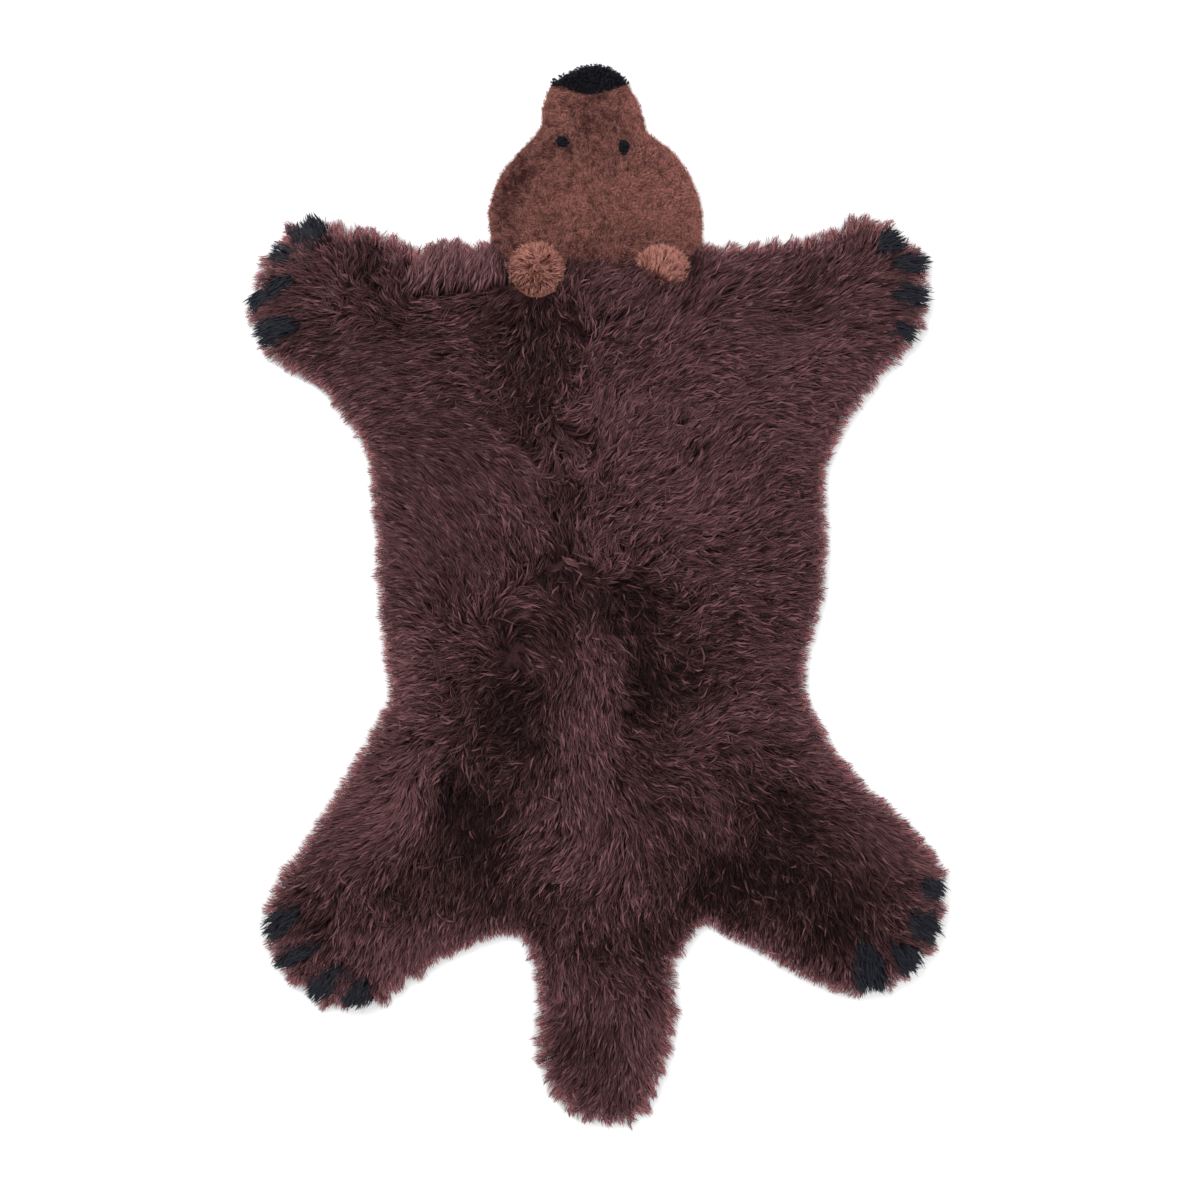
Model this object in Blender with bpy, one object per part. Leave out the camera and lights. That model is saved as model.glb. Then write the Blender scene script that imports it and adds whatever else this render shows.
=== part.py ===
"""Bear-shaped rug of sheepskin, lying flat on the floor with its wool up.

Metres, +Z up, the nose towards +Y. The origin is on the floor under the middle of the rug.
Each piece of fleece is one closed slab with a flat underside. The pieces are sewn edge to edge, so in plan they share
their seams, each drawn in by half the seam gap. Free edges of long wool end in locks that lie out over the floor.
"""

import math
import random

import bmesh
import bpy
from mathutils import Matrix, Vector, noise
from mathutils.geometry import delaunay_2d_cdt

MM = 0.001

# ---- driving sizes, in millimetres ----
SEAM_GAP = 0.3

# Heights of the fleece above the floor.
LONG_WOOL = 36.0
CLUMP_RISE = 9.0
TUFT_RISE = 7.0
LOCK_END = 3.5
EDGE_SLOPE = 72.0
SHORN_WOOL = 13.0
SHORN_EDGE = 7.0
NOSE_WOOL = 17.0
EYE_WOOL = 14.0
EAR_WOOL = 43.0
CLAW_RAISED = 1.5

# Locks at the rim of the long wool, a pitch apart, and the size of the clumps and tufts on its top.
LOCK_PITCH = 23.0
LOCK_REACH = 9.5
LOCK_ROOT = 7.0
LOCK_LEAN = 5.0
CORNER_CALM = 16.0
CLUMP_SIZE = 34.0
TUFT_SIZE = 15.0

EAR_RADIUS = 32.0
EAR_SCALLOP = 1.5
EAR_POINTS = 28
EAR_RAYS = 9
EYE_POINTS = 10
NOSE_CURL = 5.0

# A claw's end as (millimetres short of its tip, share of its half width): three locks and the dips between them.
CLAW_END = ((10, 1), (2, 0.72), (9, 0.36), (-1, 0.04), (8, -0.32), (1, -0.7), (10, -1))
CLAW_ROOM = 9.0
SOCKET_OVERRUN = 30.0
SOCKET_BELOW = 20.0
SOCKET_HEIGHT = 120.0

# Spacing of the points on each piece's top and along the cheeks, and steps between two points of a round line.
BODY_PITCH = 14.5
HEAD_PITCH = 17.0
EAR_PITCH = 9.0
CLAW_PITCH = 12.0
CHEEK_STEP = 16.0
STEPS_PER_POINT = 12

# ---- plan of the rug: x, y in millimetres from its middle, y towards the nose ----
# The free edge of the long wool, anticlockwise from the left of the neck. It turns sharply only where two of these
# stretches meet: at the slit beside the left shoulder, and at the split between the tail and the right hind leg.
SHOULDER_RIM = ((-119, 400), (-159, 399), (-193, 404), (-202, 390))
LEFT_ARM = ((-202, 390), (-218, 406), (-239, 408), (-269, 423), (-283, 414), (-316, 434))
LEFT_PAW = ((-352, 414), (-374, 385), (-391, 352), (-394, 321), (-383, 289), (-360, 263), (-320, 243), (-294, 218))
LEFT_FLANK = ((-271, 186), (-257, 153), (-251, 99), (-246, -3), (-237, -82), (-235, -118), (-260, -163), (-328, -275))
LEFT_HIND_PAW = ((-361, -320), (-377, -369), (-367, -406), (-343, -436), (-300, -463), (-260, -464), (-219, -440))
LEFT_CROTCH = ((-176, -408), (-126, -389), (-88, -381), (-74, -399))
TAIL = ((-66, -453), (-66, -510), (-55, -552), (-30, -582), (11, -595), (49, -586), (72, -549), (83, -504))
TAIL_RIGHT = ((91, -462), (86, -417), (103, -390), (120, -370), (124, -356))
RIGHT_CROTCH = ((124, -356), (132, -374), (159, -390), (201, -410), (243, -436))
RIGHT_HIND_PAW = ((291, -451), (337, -442), (373, -414), (394, -361), (392, -309), (364, -267), (319, -226))
RIGHT_FLANK = ((276, -185), (254, -144), (234, -102), (243, -48), (258, 8), (260, 76), (258, 138), (280, 194), (306, 229))
RIGHT_PAW = ((328, 258), (361, 284), (377, 335), (373, 378), (348, 407), (319, 427), (293, 428))
RIGHT_ARM = ((263, 413), (224, 403), (173, 398), (120, 398))

# Seams, straight from point to point. Where two meet beside an ear, the ear's round socket takes their ends away.
NECK_SEAM = ((120, 398), (104, 372), (-85, 372))
NECK_SEAM_LEFT = ((-85, 372), (-100, 372), (-119, 400))
SHOULDER_SEAM = ((-202, 390), (-218, 334), (-184, 336), (-142, 343), (-85, 352))
NOSE_SEAM = ((34, 585), (21, 577), (8, 572), (-4, 570), (-19, 574), (-30, 579), (-41, 582), (-51, 583))

# Free edges of the shorn head and of the nose, anticlockwise.
RIGHT_CHEEK = ((120, 398), (121, 423), (118, 445), (111, 467), (90, 502), (61, 523), (55, 535), (50, 555), (34, 585))
LEFT_CHEEK = ((-51, 583), (-58, 566), (-63, 547), (-64, 529), (-85, 507), (-109, 479), (-122, 442), (-123, 425), (-119, 400))
NOSE_TIP = ((34, 585), (25, 592), (13, 599), (-1, 602), (-13, 600), (-27, 595), (-41, 588), (-51, 583))

EAR_COLUMNS = ("side", "x", "y", "first_ray", "between")
EARS = (
    ("left", -67, 369, 0.0, ("head", "body", "shoulder_strip")),
    ("right", 74, 373, 2.0, ("head", "body")),
)

EYE_COLUMNS = ("side", "x", "y", "half_width", "half_height", "tilt_deg")
EYES = (
    ("left", -39, 514, 8.0, 5.5, -25),
    ("right", 31, 508, 6.0, 9.0, 0),
)

# Each claw is a strip of black wool from its root inside the paw to its tip at the rim.
CLAW_COLUMNS = ("paw", "root_x", "root_y", "tip_x", "tip_y", "width")
CLAWS = (
    ("front_left", -312, 396, -326, 436, 27),
    ("front_left", -342, 382, -374, 394, 16),
    ("front_left", -339, 361, -398, 325, 16),
    ("front_left", -334, 306, -390, 292, 27),
    ("front_right", 314, 391, 352, 410, 25),
    ("front_right", 329, 374, 382, 379, 19),
    ("front_right", 329, 342, 382, 336, 22),
    ("front_right", 333, 306, 366, 289, 17),
    ("hind_left", -332, -352, -379, -381, 24),
    ("hind_left", -311, -388, -367, -418, 15),
    ("hind_left", -281, -412, -328, -455, 19),
    ("hind_left", -255, -431, -274, -470, 22),
    ("hind_right", 366, -316, 397, -341, 21),
    ("hind_right", 353, -357, 392, -385, 24),
    ("hind_right", 332, -384, 365, -425, 27),
    ("hind_right", 301, -386, 317, -452, 28),
)

# Broad rises and hollows of the long wool: centre, half-lengths across and along, turn of the long side, height.
# They are the ridge down the rump and tail, the dips beside it, the parting behind the left ear and the full flanks.
SWELL_COLUMNS = ("x", "y", "half_across", "half_along", "turn_deg", "rise")
SWELLS = (
    (4, -230, 42, 130, 0, 8),
    (-120, -210, 55, 95, 12, -9),
    (95, -240, 45, 110, -8, -8),
    (-45, 200, 22, 150, 8, -7),
    (-60, -30, 60, 40, 0, -6),
    (4, -480, 40, 80, 0, 5),
    (-200, -300, 60, 90, -35, 5),
    (215, -270, 60, 90, 38, 5),
    (-190, 150, 60, 160, 0, 3),
    (150, 150, 90, 170, -12, 4),
)

# sRGB colours of the dyed wool
COLOURS = {
    "long brown wool": "5B3D3E",
    "combed brown wool": "654446",
    "shorn chestnut wool": "83503F",
    "light chestnut tuft": "9A6A55",
    "black wool": "25252A",
}


def records(columns, rows):
    """The rows of a table as dictionaries that name each column."""
    return [dict(zip(columns, row)) for row in rows]


def smooth_line(points, step):
    """A round line through the points (Catmull-Rom), with a point about every step millimetres."""
    ends = [Vector(points[0]), *map(Vector, points), Vector(points[-1])]
    fine = []
    for before, start, end, after in zip(ends, ends[1:], ends[2:], ends[3:]):
        for i in range(STEPS_PER_POINT):
            t = i / STEPS_PER_POINT
            bend = (2 * before - 5 * start + 4 * end - after) * t**2
            twist = (3 * start - before - 3 * end + after) * t**3
            fine.append(0.5 * (2 * start + (end - before) * t + bend + twist))
    fine.append(ends[-1])
    return even_line(fine, step)


def even_line(points, step):
    """The same line with its points evenly spaced, about step millimetres apart."""
    lengths = [(b - a).length for a, b in zip(points, points[1:])]
    count = max(2, 2 * round(sum(lengths) / step / 2))
    spacing = sum(lengths) / count
    line = [points[0]]
    walked = 0.0
    for a, b, length in zip(points, points[1:], lengths):
        while len(line) < count and walked + length >= spacing * len(line):
            share = (spacing * len(line) - walked) / length
            line.append(a.lerp(b, share))
        walked += length
    line.append(points[-1])
    return line


def side_of(line, index):
    """The unit vector to the right of the line at this point, which is outwards on an anticlockwise line."""
    before = line[max(index - 1, 0)]
    after = line[min(index + 1, len(line) - 1)]
    along = (after - before).normalized()
    return Vector((along.y, -along.x))


def locked_edge(line, seed, lock_size):
    """The line with a lock at every other point, at the share of its full size that lock_size(point) gives."""
    rng = random.Random(seed)
    edge = []
    for index, point in enumerate(line):
        out = side_of(line, index)
        along = Vector((-out.y, out.x))
        size = lock_size(point)
        if index % 2:
            reach = LOCK_REACH * rng.uniform(0.45, 1.15)
            lean = LOCK_LEAN * rng.uniform(-1, 1)
            edge.append(point + size * (reach * out + lean * along))
        else:
            edge.append(point - size * LOCK_ROOT * out)
    return edge


def distance_to_line(point, line):
    """How far the point lies from a line of straight stretches."""
    nearest = math.inf
    for a, b in zip(line, line[1:]):
        run = b - a
        share = min(1.0, max(0.0, (point - a).dot(run) / run.length_squared))
        nearest = min(nearest, (point - a - share * run).length)
    return nearest


def inside(point, outline):
    """Whether the point lies inside the closed outline."""
    odd = False
    for a, b in zip(outline, outline[1:] + outline[:1]):
        if (a.y > point.y) != (b.y > point.y):
            odd ^= point.x < a.x + (point.y - a.y) * (b.x - a.x) / (b.y - a.y)
    return odd


def moved_in(outline, distance):
    """The anticlockwise outline drawn in by a distance, or grown where it's negative."""
    moved = []
    for before, point, after in zip(outline[-1:] + outline[:-1], outline, outline[1:] + outline[:1]):
        first = (point - before).normalized()
        second = (after - point).normalized()
        inward = Vector((-first.y - second.y, first.x + second.x)).normalized()
        widen = max(0.3, inward.dot(Vector((-first.y, first.x))))
        moved.append(point + distance / widen * inward)
    return moved


def without_repeats(outline):
    """The outline without points that repeat the one before."""
    return [p for i, p in enumerate(outline) if (p - outline[i - 1]).length > 0.01]


def lattice(outline, pitch, margin):
    """Points of a triangular lattice inside the outline, at least margin from it."""
    closed = outline + outline[:1]
    low_x, high_x = min(p.x for p in outline), max(p.x for p in outline)
    low_y, high_y = min(p.y for p in outline), max(p.y for p in outline)
    points = []
    row_pitch = pitch * math.sqrt(3) / 2
    for row in range(int((high_y - low_y) / row_pitch) + 1):
        for column in range(int((high_x - low_x) / pitch) + 1):
            at = Vector((low_x + pitch * (column + 0.5 * (row % 2)), low_y + row_pitch * row))
            if inside(at, outline) and distance_to_line(at, closed) > margin:
                points.append(at)
    return points


def slab_mesh(name, outline, height, pitch):
    """A closed slab on the floor over the outline, its top at height(point), with top points about pitch apart."""
    outline = moved_in(without_repeats(outline), SEAM_GAP / 2)
    count = len(outline)
    corners = outline + lattice(outline, pitch, pitch / 2)
    rim = [(i, (i + 1) % count) for i in range(count)]
    points, _, faces, _, _, _ = delaunay_2d_cdt(corners, rim, [list(range(count))], 1, 1e-5)
    build = bmesh.new()
    floor = [build.verts.new((p.x * MM, p.y * MM, 0)) for p in points]
    for face in faces:
        build.faces.new([floor[i] for i in face])
    for vert in lifted_points(build):
        vert.co.z = MM * height(vert.co.xy / MM)
    under = [f for f in build.faces if all(v.co.z == 0 for v in f.verts)]
    bmesh.ops.dissolve_faces(build, faces=under, use_verts=True)
    return finished_mesh(name, build)


def lifted_points(build):
    """Extrudes all the faces of a flat sheet into a slab and gives the points of its upper side."""
    lifted = bmesh.ops.extrude_face_region(build, geom=build.faces[:])
    return [v for v in lifted["geom"] if isinstance(v, bmesh.types.BMVert)]


def finished_mesh(name, build):
    bmesh.ops.recalc_face_normals(build, faces=build.faces)
    mesh = bpy.data.meshes.new(name)
    build.to_mesh(mesh)
    build.free()
    return mesh


def placed(name, mesh, material, collection):
    """One piece of the rug as an object of its own."""
    piece = bpy.data.objects.new(name, mesh)
    mesh.materials.append(material)
    mesh.set_sharp_from_angle(angle=math.radians(50))
    collection.objects.link(piece)
    return piece


def socket_cutter(name, outline, collection):
    """A tall prism over the outline, grown by half the seam gap, that cuts the room for a piece let in."""
    grown = moved_in(outline, -SEAM_GAP / 2)
    build = bmesh.new()
    build.faces.new([build.verts.new((p.x * MM, p.y * MM, -SOCKET_BELOW * MM)) for p in grown])
    for vert in lifted_points(build):
        vert.co.z += SOCKET_HEIGHT * MM
    cutter = bpy.data.objects.new(name, finished_mesh(name, build))
    cutter.hide_render = True
    cutter.display_type = "WIRE"
    collection.objects.link(cutter)
    return cutter


def cut(piece, cutter):
    """Takes the cutter's room out of the piece."""
    room = piece.modifiers.new(cutter.name, "BOOLEAN")
    room.operation = "DIFFERENCE"
    room.solver = "EXACT"
    room.object = cutter


def dyed_wool(name, roughness=0.95):
    """A Principled material of this wool's dyed colour."""
    code = COLOURS[name]
    shares = [int(code[i : i + 2], 16) / 255 for i in (0, 2, 4)]
    linear = [s / 12.92 if s <= 0.04045 else ((s + 0.055) / 1.055) ** 2.4 for s in shares]
    material = bpy.data.materials.new(name)
    material.use_nodes = True
    shader = material.node_tree.nodes["Principled BSDF"]
    shader.inputs["Base Color"].default_value = (*linear, 1)
    shader.inputs["Roughness"].default_value = roughness
    shader.inputs["Metallic"].default_value = 0
    material.diffuse_color = (*linear, 1)
    return material


def vectors(*stretches):
    """The points of one or more stretches, end to end."""
    return [Vector(point) for stretch in stretches for point in stretch]


class Plan:
    """The outlines of all pieces in plan, worked out from the tables above."""

    def __init__(self):
        left = LEFT_ARM + LEFT_PAW + LEFT_FLANK + LEFT_HIND_PAW + LEFT_CROTCH + TAIL + TAIL_RIGHT
        right = RIGHT_CROTCH + RIGHT_HIND_PAW + RIGHT_FLANK + RIGHT_PAW + RIGHT_ARM
        self.shoulder_rim = smooth_line(SHOULDER_RIM, LOCK_PITCH / 2)
        self.left_rim = smooth_line(left, LOCK_PITCH / 2)
        self.right_rim = smooth_line(right, LOCK_PITCH / 2)
        self.claws = records(CLAW_COLUMNS, CLAWS)
        self.corners = vectors(SHOULDER_RIM[:1], LEFT_ARM[:1], RIGHT_CROTCH[:1], NECK_SEAM[:1])

    def long_wool(self):
        """The outline of all the long wool, without its locks."""
        rim = self.left_rim + self.right_rim + vectors(NECK_SEAM, NECK_SEAM_LEFT) + self.shoulder_rim
        return without_repeats(rim)

    def lock_size(self, point):
        """How large a lock may be here: none at the corners of the edge and where a claw passes."""
        corner = min((point - c).length for c in self.corners) / CORNER_CALM - 0.4
        claw = min(distance_to_line(point, claw_line(c)) - c["width"] / 2 for c in self.claws) / CLAW_ROOM
        return min(1.0, max(0.0, corner)) * min(1.0, max(0.0, claw))

    def body(self):
        left = locked_edge(self.left_rim, 11, self.lock_size)
        right = locked_edge(self.right_rim, 12, self.lock_size)
        return left + right[1:] + vectors(NECK_SEAM[1:]) + vectors(SHOULDER_SEAM[:0:-1])

    def shoulder_strip(self):
        rim = locked_edge(self.shoulder_rim, 13, self.lock_size)
        return rim + vectors(SHOULDER_SEAM[1:], NECK_SEAM_LEFT[:-1])

    def head(self):
        right = smooth_line(RIGHT_CHEEK, CHEEK_STEP)
        left = smooth_line(LEFT_CHEEK, CHEEK_STEP)
        return right + vectors(NOSE_SEAM[1:-1]) + left + vectors(NECK_SEAM_LEFT[::-1][1:], NECK_SEAM[::-1][1:-1])

    def nose(self):
        """The nose's free edge runs in small curls, out and in by turns."""
        tip = smooth_line(NOSE_TIP, NOSE_CURL)
        curls = [p + (0.8 if i % 2 else -1.2) * side_of(tip, i) for i, p in enumerate(tip)]
        return [tip[0], *curls[1:-1], tip[-1]] + vectors(NOSE_SEAM[::-1][1:-1])


def claw_line(claw):
    """A claw's middle line, from root to tip."""
    return vectors([(claw["root_x"], claw["root_y"]), (claw["tip_x"], claw["tip_y"])])


def claw_outline(claw, socket=False):
    """A strip that widens from its root and ends in three locks. Its socket runs on straight, past the rim."""
    root, tip = claw_line(claw)
    along = (tip - root).normalized()
    across = Vector((along.y, -along.x)) * claw["width"] / 2
    length = (tip - root).length
    side = [(0, 0.28), (0.12 * length, 0.75), (0.4 * length, 1)]
    if socket:
        end = [(length + SOCKET_OVERRUN, 1), (length + SOCKET_OVERRUN, -1)]
    else:
        end = [(length - back, share) for back, share in CLAW_END]
    mirrored = [(reach, -share) for reach, share in reversed(side)]
    return [root + reach * along + share * across for reach, share in side + end + mirrored]


def ear_outline(ear, scallop):
    """A circle whose every other point is drawn in by the scallop."""
    middle = Vector((ear["x"], ear["y"]))
    radii = [EAR_RADIUS, EAR_RADIUS - scallop] * (EAR_POINTS // 2)
    turns = [math.tau * i / EAR_POINTS for i in range(EAR_POINTS)]
    return [middle + radius * Vector((math.cos(t), math.sin(t))) for radius, t in zip(radii, turns)]


def eye_outline(eye):
    """A small oval patch, cut a little unevenly."""
    tilt = Matrix.Rotation(math.radians(eye["tilt_deg"]), 2)
    middle = Vector((eye["x"], eye["y"]))
    outline = []
    for i in range(EYE_POINTS):
        turn = math.tau * i / EYE_POINTS
        bulge = 1 + 0.12 * math.sin(3 * turn + 0.6)
        oval = Vector((eye["half_width"] * math.cos(turn), eye["half_height"] * math.sin(turn)))
        outline.append(middle + bulge * (tilt @ oval))
    return outline


def swell(point):
    """The sum of the broad rises and hollows at this point."""
    total = 0.0
    for rise in records(SWELL_COLUMNS, SWELLS):
        turn = math.radians(rise["turn_deg"])
        off = point - Vector((rise["x"], rise["y"]))
        across = (off.x * math.cos(turn) + off.y * math.sin(turn)) / rise["half_across"]
        along = (off.y * math.cos(turn) - off.x * math.sin(turn)) / rise["half_along"]
        total += rise["rise"] * math.exp(-(across**2) - along**2)
    return total


def long_wool_height(plan):
    """The height of the long wool: thin at the locks' ends, full and lumpy within a hand's width of the edge."""
    outline = plan.long_wool()

    def height(point):
        rims = (plan.left_rim, plan.right_rim, plan.shoulder_rim)
        depth = min(distance_to_line(point, rim) for rim in rims)
        if not inside(point, outline):
            depth = -depth
        rise = min(1.0, max(0.0, (depth + LOCK_REACH) / EDGE_SLOPE))
        clump = CLUMP_RISE * noise.noise(Vector((*point, 0)) / CLUMP_SIZE)
        tuft = TUFT_RISE * noise.noise(Vector((*point, 100)) / TUFT_SIZE)
        return LOCK_END + rise * (2 - rise) * (LONG_WOOL - LOCK_END + swell(point) + clump + tuft)

    return height


def shorn_height(outline):
    """The shorn pile: rounded down at its edge, with a shallow hollow inside the left cheek."""
    edge = outline + outline[:1]
    hollow = Vector((-96, 455))

    def height(point):
        rounding = min(1.0, distance_to_line(point, edge) / 14)
        off = point - hollow
        cheek = 3 * math.exp(-((off.x / 14) ** 2) - (off.y / 40) ** 2)
        return SHORN_EDGE + (SHORN_WOOL - SHORN_EDGE) * rounding * (2 - rounding) - cheek

    return height


def curled_height(point):
    """Short tight curls, highest along the middle of the nose."""
    curl = noise.noise(Vector((*point, 13)) / NOSE_CURL)
    return NOSE_WOOL - 4 * (point.x / 50) ** 2 + 4 * curl


def tuft_height(ear):
    """A round tuft whose wool stands highest in the middle and falls to its rim in rays."""
    middle = Vector((ear["x"], ear["y"]))

    def height(point):
        off = point - middle
        share = off.length / EAR_RADIUS
        ray = 1.6 * share * math.sin(EAR_RAYS * math.atan2(off.y, off.x) + ear["first_ray"])
        return EAR_WOOL * math.sqrt(1 - 0.86 * min(1.0, share) ** 2) + ray

    return height


def add_skins(plan, wool, rug):
    """The three skins that make up the most of the rug."""
    tall = long_wool_height(plan)
    strip = plan.shoulder_strip()
    head = plan.head()
    return (
        placed("body", slab_mesh("body", plan.body(), tall, BODY_PITCH), wool["long brown wool"], rug),
        placed("shoulder_strip", slab_mesh("shoulder_strip", strip, tall, BODY_PITCH), wool["combed brown wool"], rug),
        placed("head", slab_mesh("head", head, shorn_height(head), HEAD_PITCH), wool["shorn chestnut wool"], rug),
    )


def add_nose(plan, wool, rug):
    placed("nose", slab_mesh("nose", plan.nose(), curled_height, NOSE_CURL + 2), wool["black wool"], rug)


def add_ears(neighbours, wool, rug, cutters):
    for ear in records(EAR_COLUMNS, EARS):
        name = f"ear_{ear['side']}"
        mesh = slab_mesh(name, ear_outline(ear, EAR_SCALLOP), tuft_height(ear), EAR_PITCH)
        placed(name, mesh, wool["light chestnut tuft"], rug)
        socket = socket_cutter(f"{name}_socket", ear_outline(ear, 0), cutters)
        for piece in neighbours:
            if piece.name in ear["between"]:
                cut(piece, socket)


def add_eyes(head, wool, rug, cutters):
    for eye in records(EYE_COLUMNS, EYES):
        name = f"eye_{eye['side']}"
        outline = eye_outline(eye)
        placed(name, slab_mesh(name, outline, lambda point: EYE_WOOL, HEAD_PITCH), wool["black wool"], rug)
        cut(head, socket_cutter(f"{name}_socket", outline, cutters))


def add_claws(plan, body, wool, rug, cutters):
    tall = long_wool_height(plan)
    paws = [claw["paw"] for claw in plan.claws]
    for index, claw in enumerate(plan.claws):
        name = f"claw_{claw['paw']}_{paws[: index + 1].count(claw['paw'])}"
        mesh = slab_mesh(name, claw_outline(claw), lambda point: tall(point) + CLAW_RAISED, CLAW_PITCH)
        placed(name, mesh, wool["black wool"], rug)
        cut(body, socket_cutter(f"{name}_socket", claw_outline(claw, socket=True), cutters))


def centre_on_origin(collections):
    """Parents everything to an empty that brings the middle of the rug's box over the origin."""
    corners = [vert.co for piece in collections[0].objects for vert in piece.data.vertices]
    middle = Vector()
    for axis in (0, 1):
        middle[axis] = (min(c[axis] for c in corners) + max(c[axis] for c in corners)) / 2
    carrier = bpy.data.objects.new("rug_middle", None)
    carrier.location = -middle
    bpy.context.scene.collection.objects.link(carrier)
    for collection in collections:
        for piece in collection.objects:
            piece.parent = carrier


def build_rug():
    for old in list(bpy.data.objects):
        bpy.data.objects.remove(old, do_unlink=True)
    rug = bpy.data.collections.new("bear shaped rug")
    cutters = bpy.data.collections.new("sockets")
    for collection in (rug, cutters):
        bpy.context.scene.collection.children.link(collection)
    plan = Plan()
    wool = {name: dyed_wool(name) for name in COLOURS}
    body, strip, head = add_skins(plan, wool, rug)
    add_nose(plan, wool, rug)
    add_ears((body, strip, head), wool, rug, cutters)
    add_eyes(head, wool, rug, cutters)
    add_claws(plan, body, wool, rug, cutters)
    centre_on_origin((rug, cutters))


build_rug()
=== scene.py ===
"""The looks of a bear-shaped rug of dyed sheepskin: long wool on the body, shorn wool on the head, black wool
on the nose, the eyes and the claws. The wool is strands in locks, combed as the rug lies, over the hide."""

import math
from collections import namedtuple

import bmesh
import bpy
import numpy as np
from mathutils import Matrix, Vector
from mathutils.bvhtree import BVHTree


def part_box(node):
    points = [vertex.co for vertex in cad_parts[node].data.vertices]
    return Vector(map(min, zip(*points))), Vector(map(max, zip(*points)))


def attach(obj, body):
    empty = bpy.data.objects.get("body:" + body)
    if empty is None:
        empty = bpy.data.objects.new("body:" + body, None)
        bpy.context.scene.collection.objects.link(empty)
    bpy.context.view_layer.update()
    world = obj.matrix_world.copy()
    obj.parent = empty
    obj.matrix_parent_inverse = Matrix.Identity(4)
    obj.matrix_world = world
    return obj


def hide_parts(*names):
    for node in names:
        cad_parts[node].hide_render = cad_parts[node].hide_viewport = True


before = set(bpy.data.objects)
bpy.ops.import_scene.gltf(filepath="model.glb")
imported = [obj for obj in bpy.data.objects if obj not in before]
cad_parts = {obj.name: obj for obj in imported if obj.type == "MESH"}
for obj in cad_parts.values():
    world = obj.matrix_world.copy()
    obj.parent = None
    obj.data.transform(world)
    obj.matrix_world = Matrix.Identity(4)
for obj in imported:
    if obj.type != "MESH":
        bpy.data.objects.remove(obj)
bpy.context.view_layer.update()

MM = 0.001
BODY = "root"

# ---- the plan's grid, in millimetres; tables below count from its zero, a little off the rug's middle ----
PLAN_ZERO = (0.92, 0.76)
PLAN_SEED = 7
STEP = 2.0
GRID_HALF = (440.0, 640.0)
FARTHEST = 40.0  # distances are measured up to this
SEAM_REACH = 3.0  # half the widest gap that wool closes
NAP_SOFT = 3.0
LYING_LOCK = 4.0  # the height of wool that lies on the floor
OUTWARD_REACH, OUTWARD_PULL = 15.0, 0.6  # near the rim, wool turns outwards

# ---- comb: where a tuft lies (x, y), the way its tips point (degrees from +X, anticlockwise), and how
# tangled it is, from 0 to 1 ----
Tuft = namedtuple("Tuft", "x y way tangle", defaults=(0,))
LEFT_ARM_COMB = (
    (-375, 360, 175), (-380, 325, 185), (-375, 290, 195), (-335, 415, 112), (-315, 420, 98),
    (-295, 405, 125), (-272, 421, 85), (-253, 402, 105, .3), (-226, 402, 85, .2), (-283, 380, 115, .8),
    (-305, 350, 150, .3), (-335, 335, 168), (-278, 335, 165, .5), (-243, 345, 140, .9), (-238, 377, 110, .8),
    (-283, 300, 205, .3), (-322, 289, 192), (-340, 272, 200), (-300, 260, 205), (-283, 233, 208),
    (-252, 198, 195),
)
LEFT_BACK_COMB = (
    (-142, 335, 192), (-188, 320, 187), (-227, 306, 183, .2), (-255, 278, 192), (-200, 278, 181),
    (-142, 278, 176), (-109, 289, 205, .2), (-98, 328, 215, .2), (-222, 233, 180), (-165, 244, 186, .2),
    (-120, 227, 195, .6), (-222, 188, 176), (-165, 188, 168), (-115, 194, 170, .2), (-70, 323, 262, .2),
    (-58, 284, 268, .3), (-87, 256, 255, .7), (-58, 233, 280, .9), (-75, 199, 250, .8), (-233, 132, 172),
    (-188, 132, 152), (-137, 143, 140), (-92, 132, 125, .1), (-222, 75, 165), (-177, 75, 140),
    (-120, 75, 128, .1), (-75, 64, 118, .2), (-233, 8, 176), (-188, 8, 150, .1), (-143, 8, 120, .5),
    (-103, 25, 125, .3), (-222, -48, 172), (-165, -48, 165, .4), (-120, -37, 190, .7), (-106, -50, 92),
    (-102, -33, 62), (-92, -25, 20), (-78, -25, 350), (-68, -33, 318), (-62, -46, 290), (-110, -20, 60),
    (-84, -10, 355), (-66, -14, 330), (-52, -26, 312), (-48, -46, 292), (-84, -68, 330, .1),
    (-104, -66, 185, .1), (-62, -70, 5, .2),
)
MIDDLE_COMB = (
    (-8, 345, 75, .4), (15, 360, 60, .2), (-36, 350, 100, .3), (-22, 290, 262, .4), (-5, 300, 55, .4),
    (-8, 255, 75, .4), (-25, 198, 30, .2), (-53, 170, 250, .8), (-30, 158, 275, .6), (3, 176, 60, .2),
    (-36, 109, 100, .4), (-8, 109, 70, .4), (-42, 64, 110, .4), (-14, 58, 60, .4), (-42, 8, 250, .8),
    (3, -3, 300, .7), (37, -9, 320, .6), (-30, -93, 262, .1), (-8, -138, 270), (-42, -195, 255),
    (3, -206, 272), (37, -195, 292), (-42, -273, 248), (3, -273, 270), (48, -262, 300), (3, -341, 265, .4),
    (-42, -363, 250, .3), (48, -341, 280, .3), (-58, -319, 245, .2),
)
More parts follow.
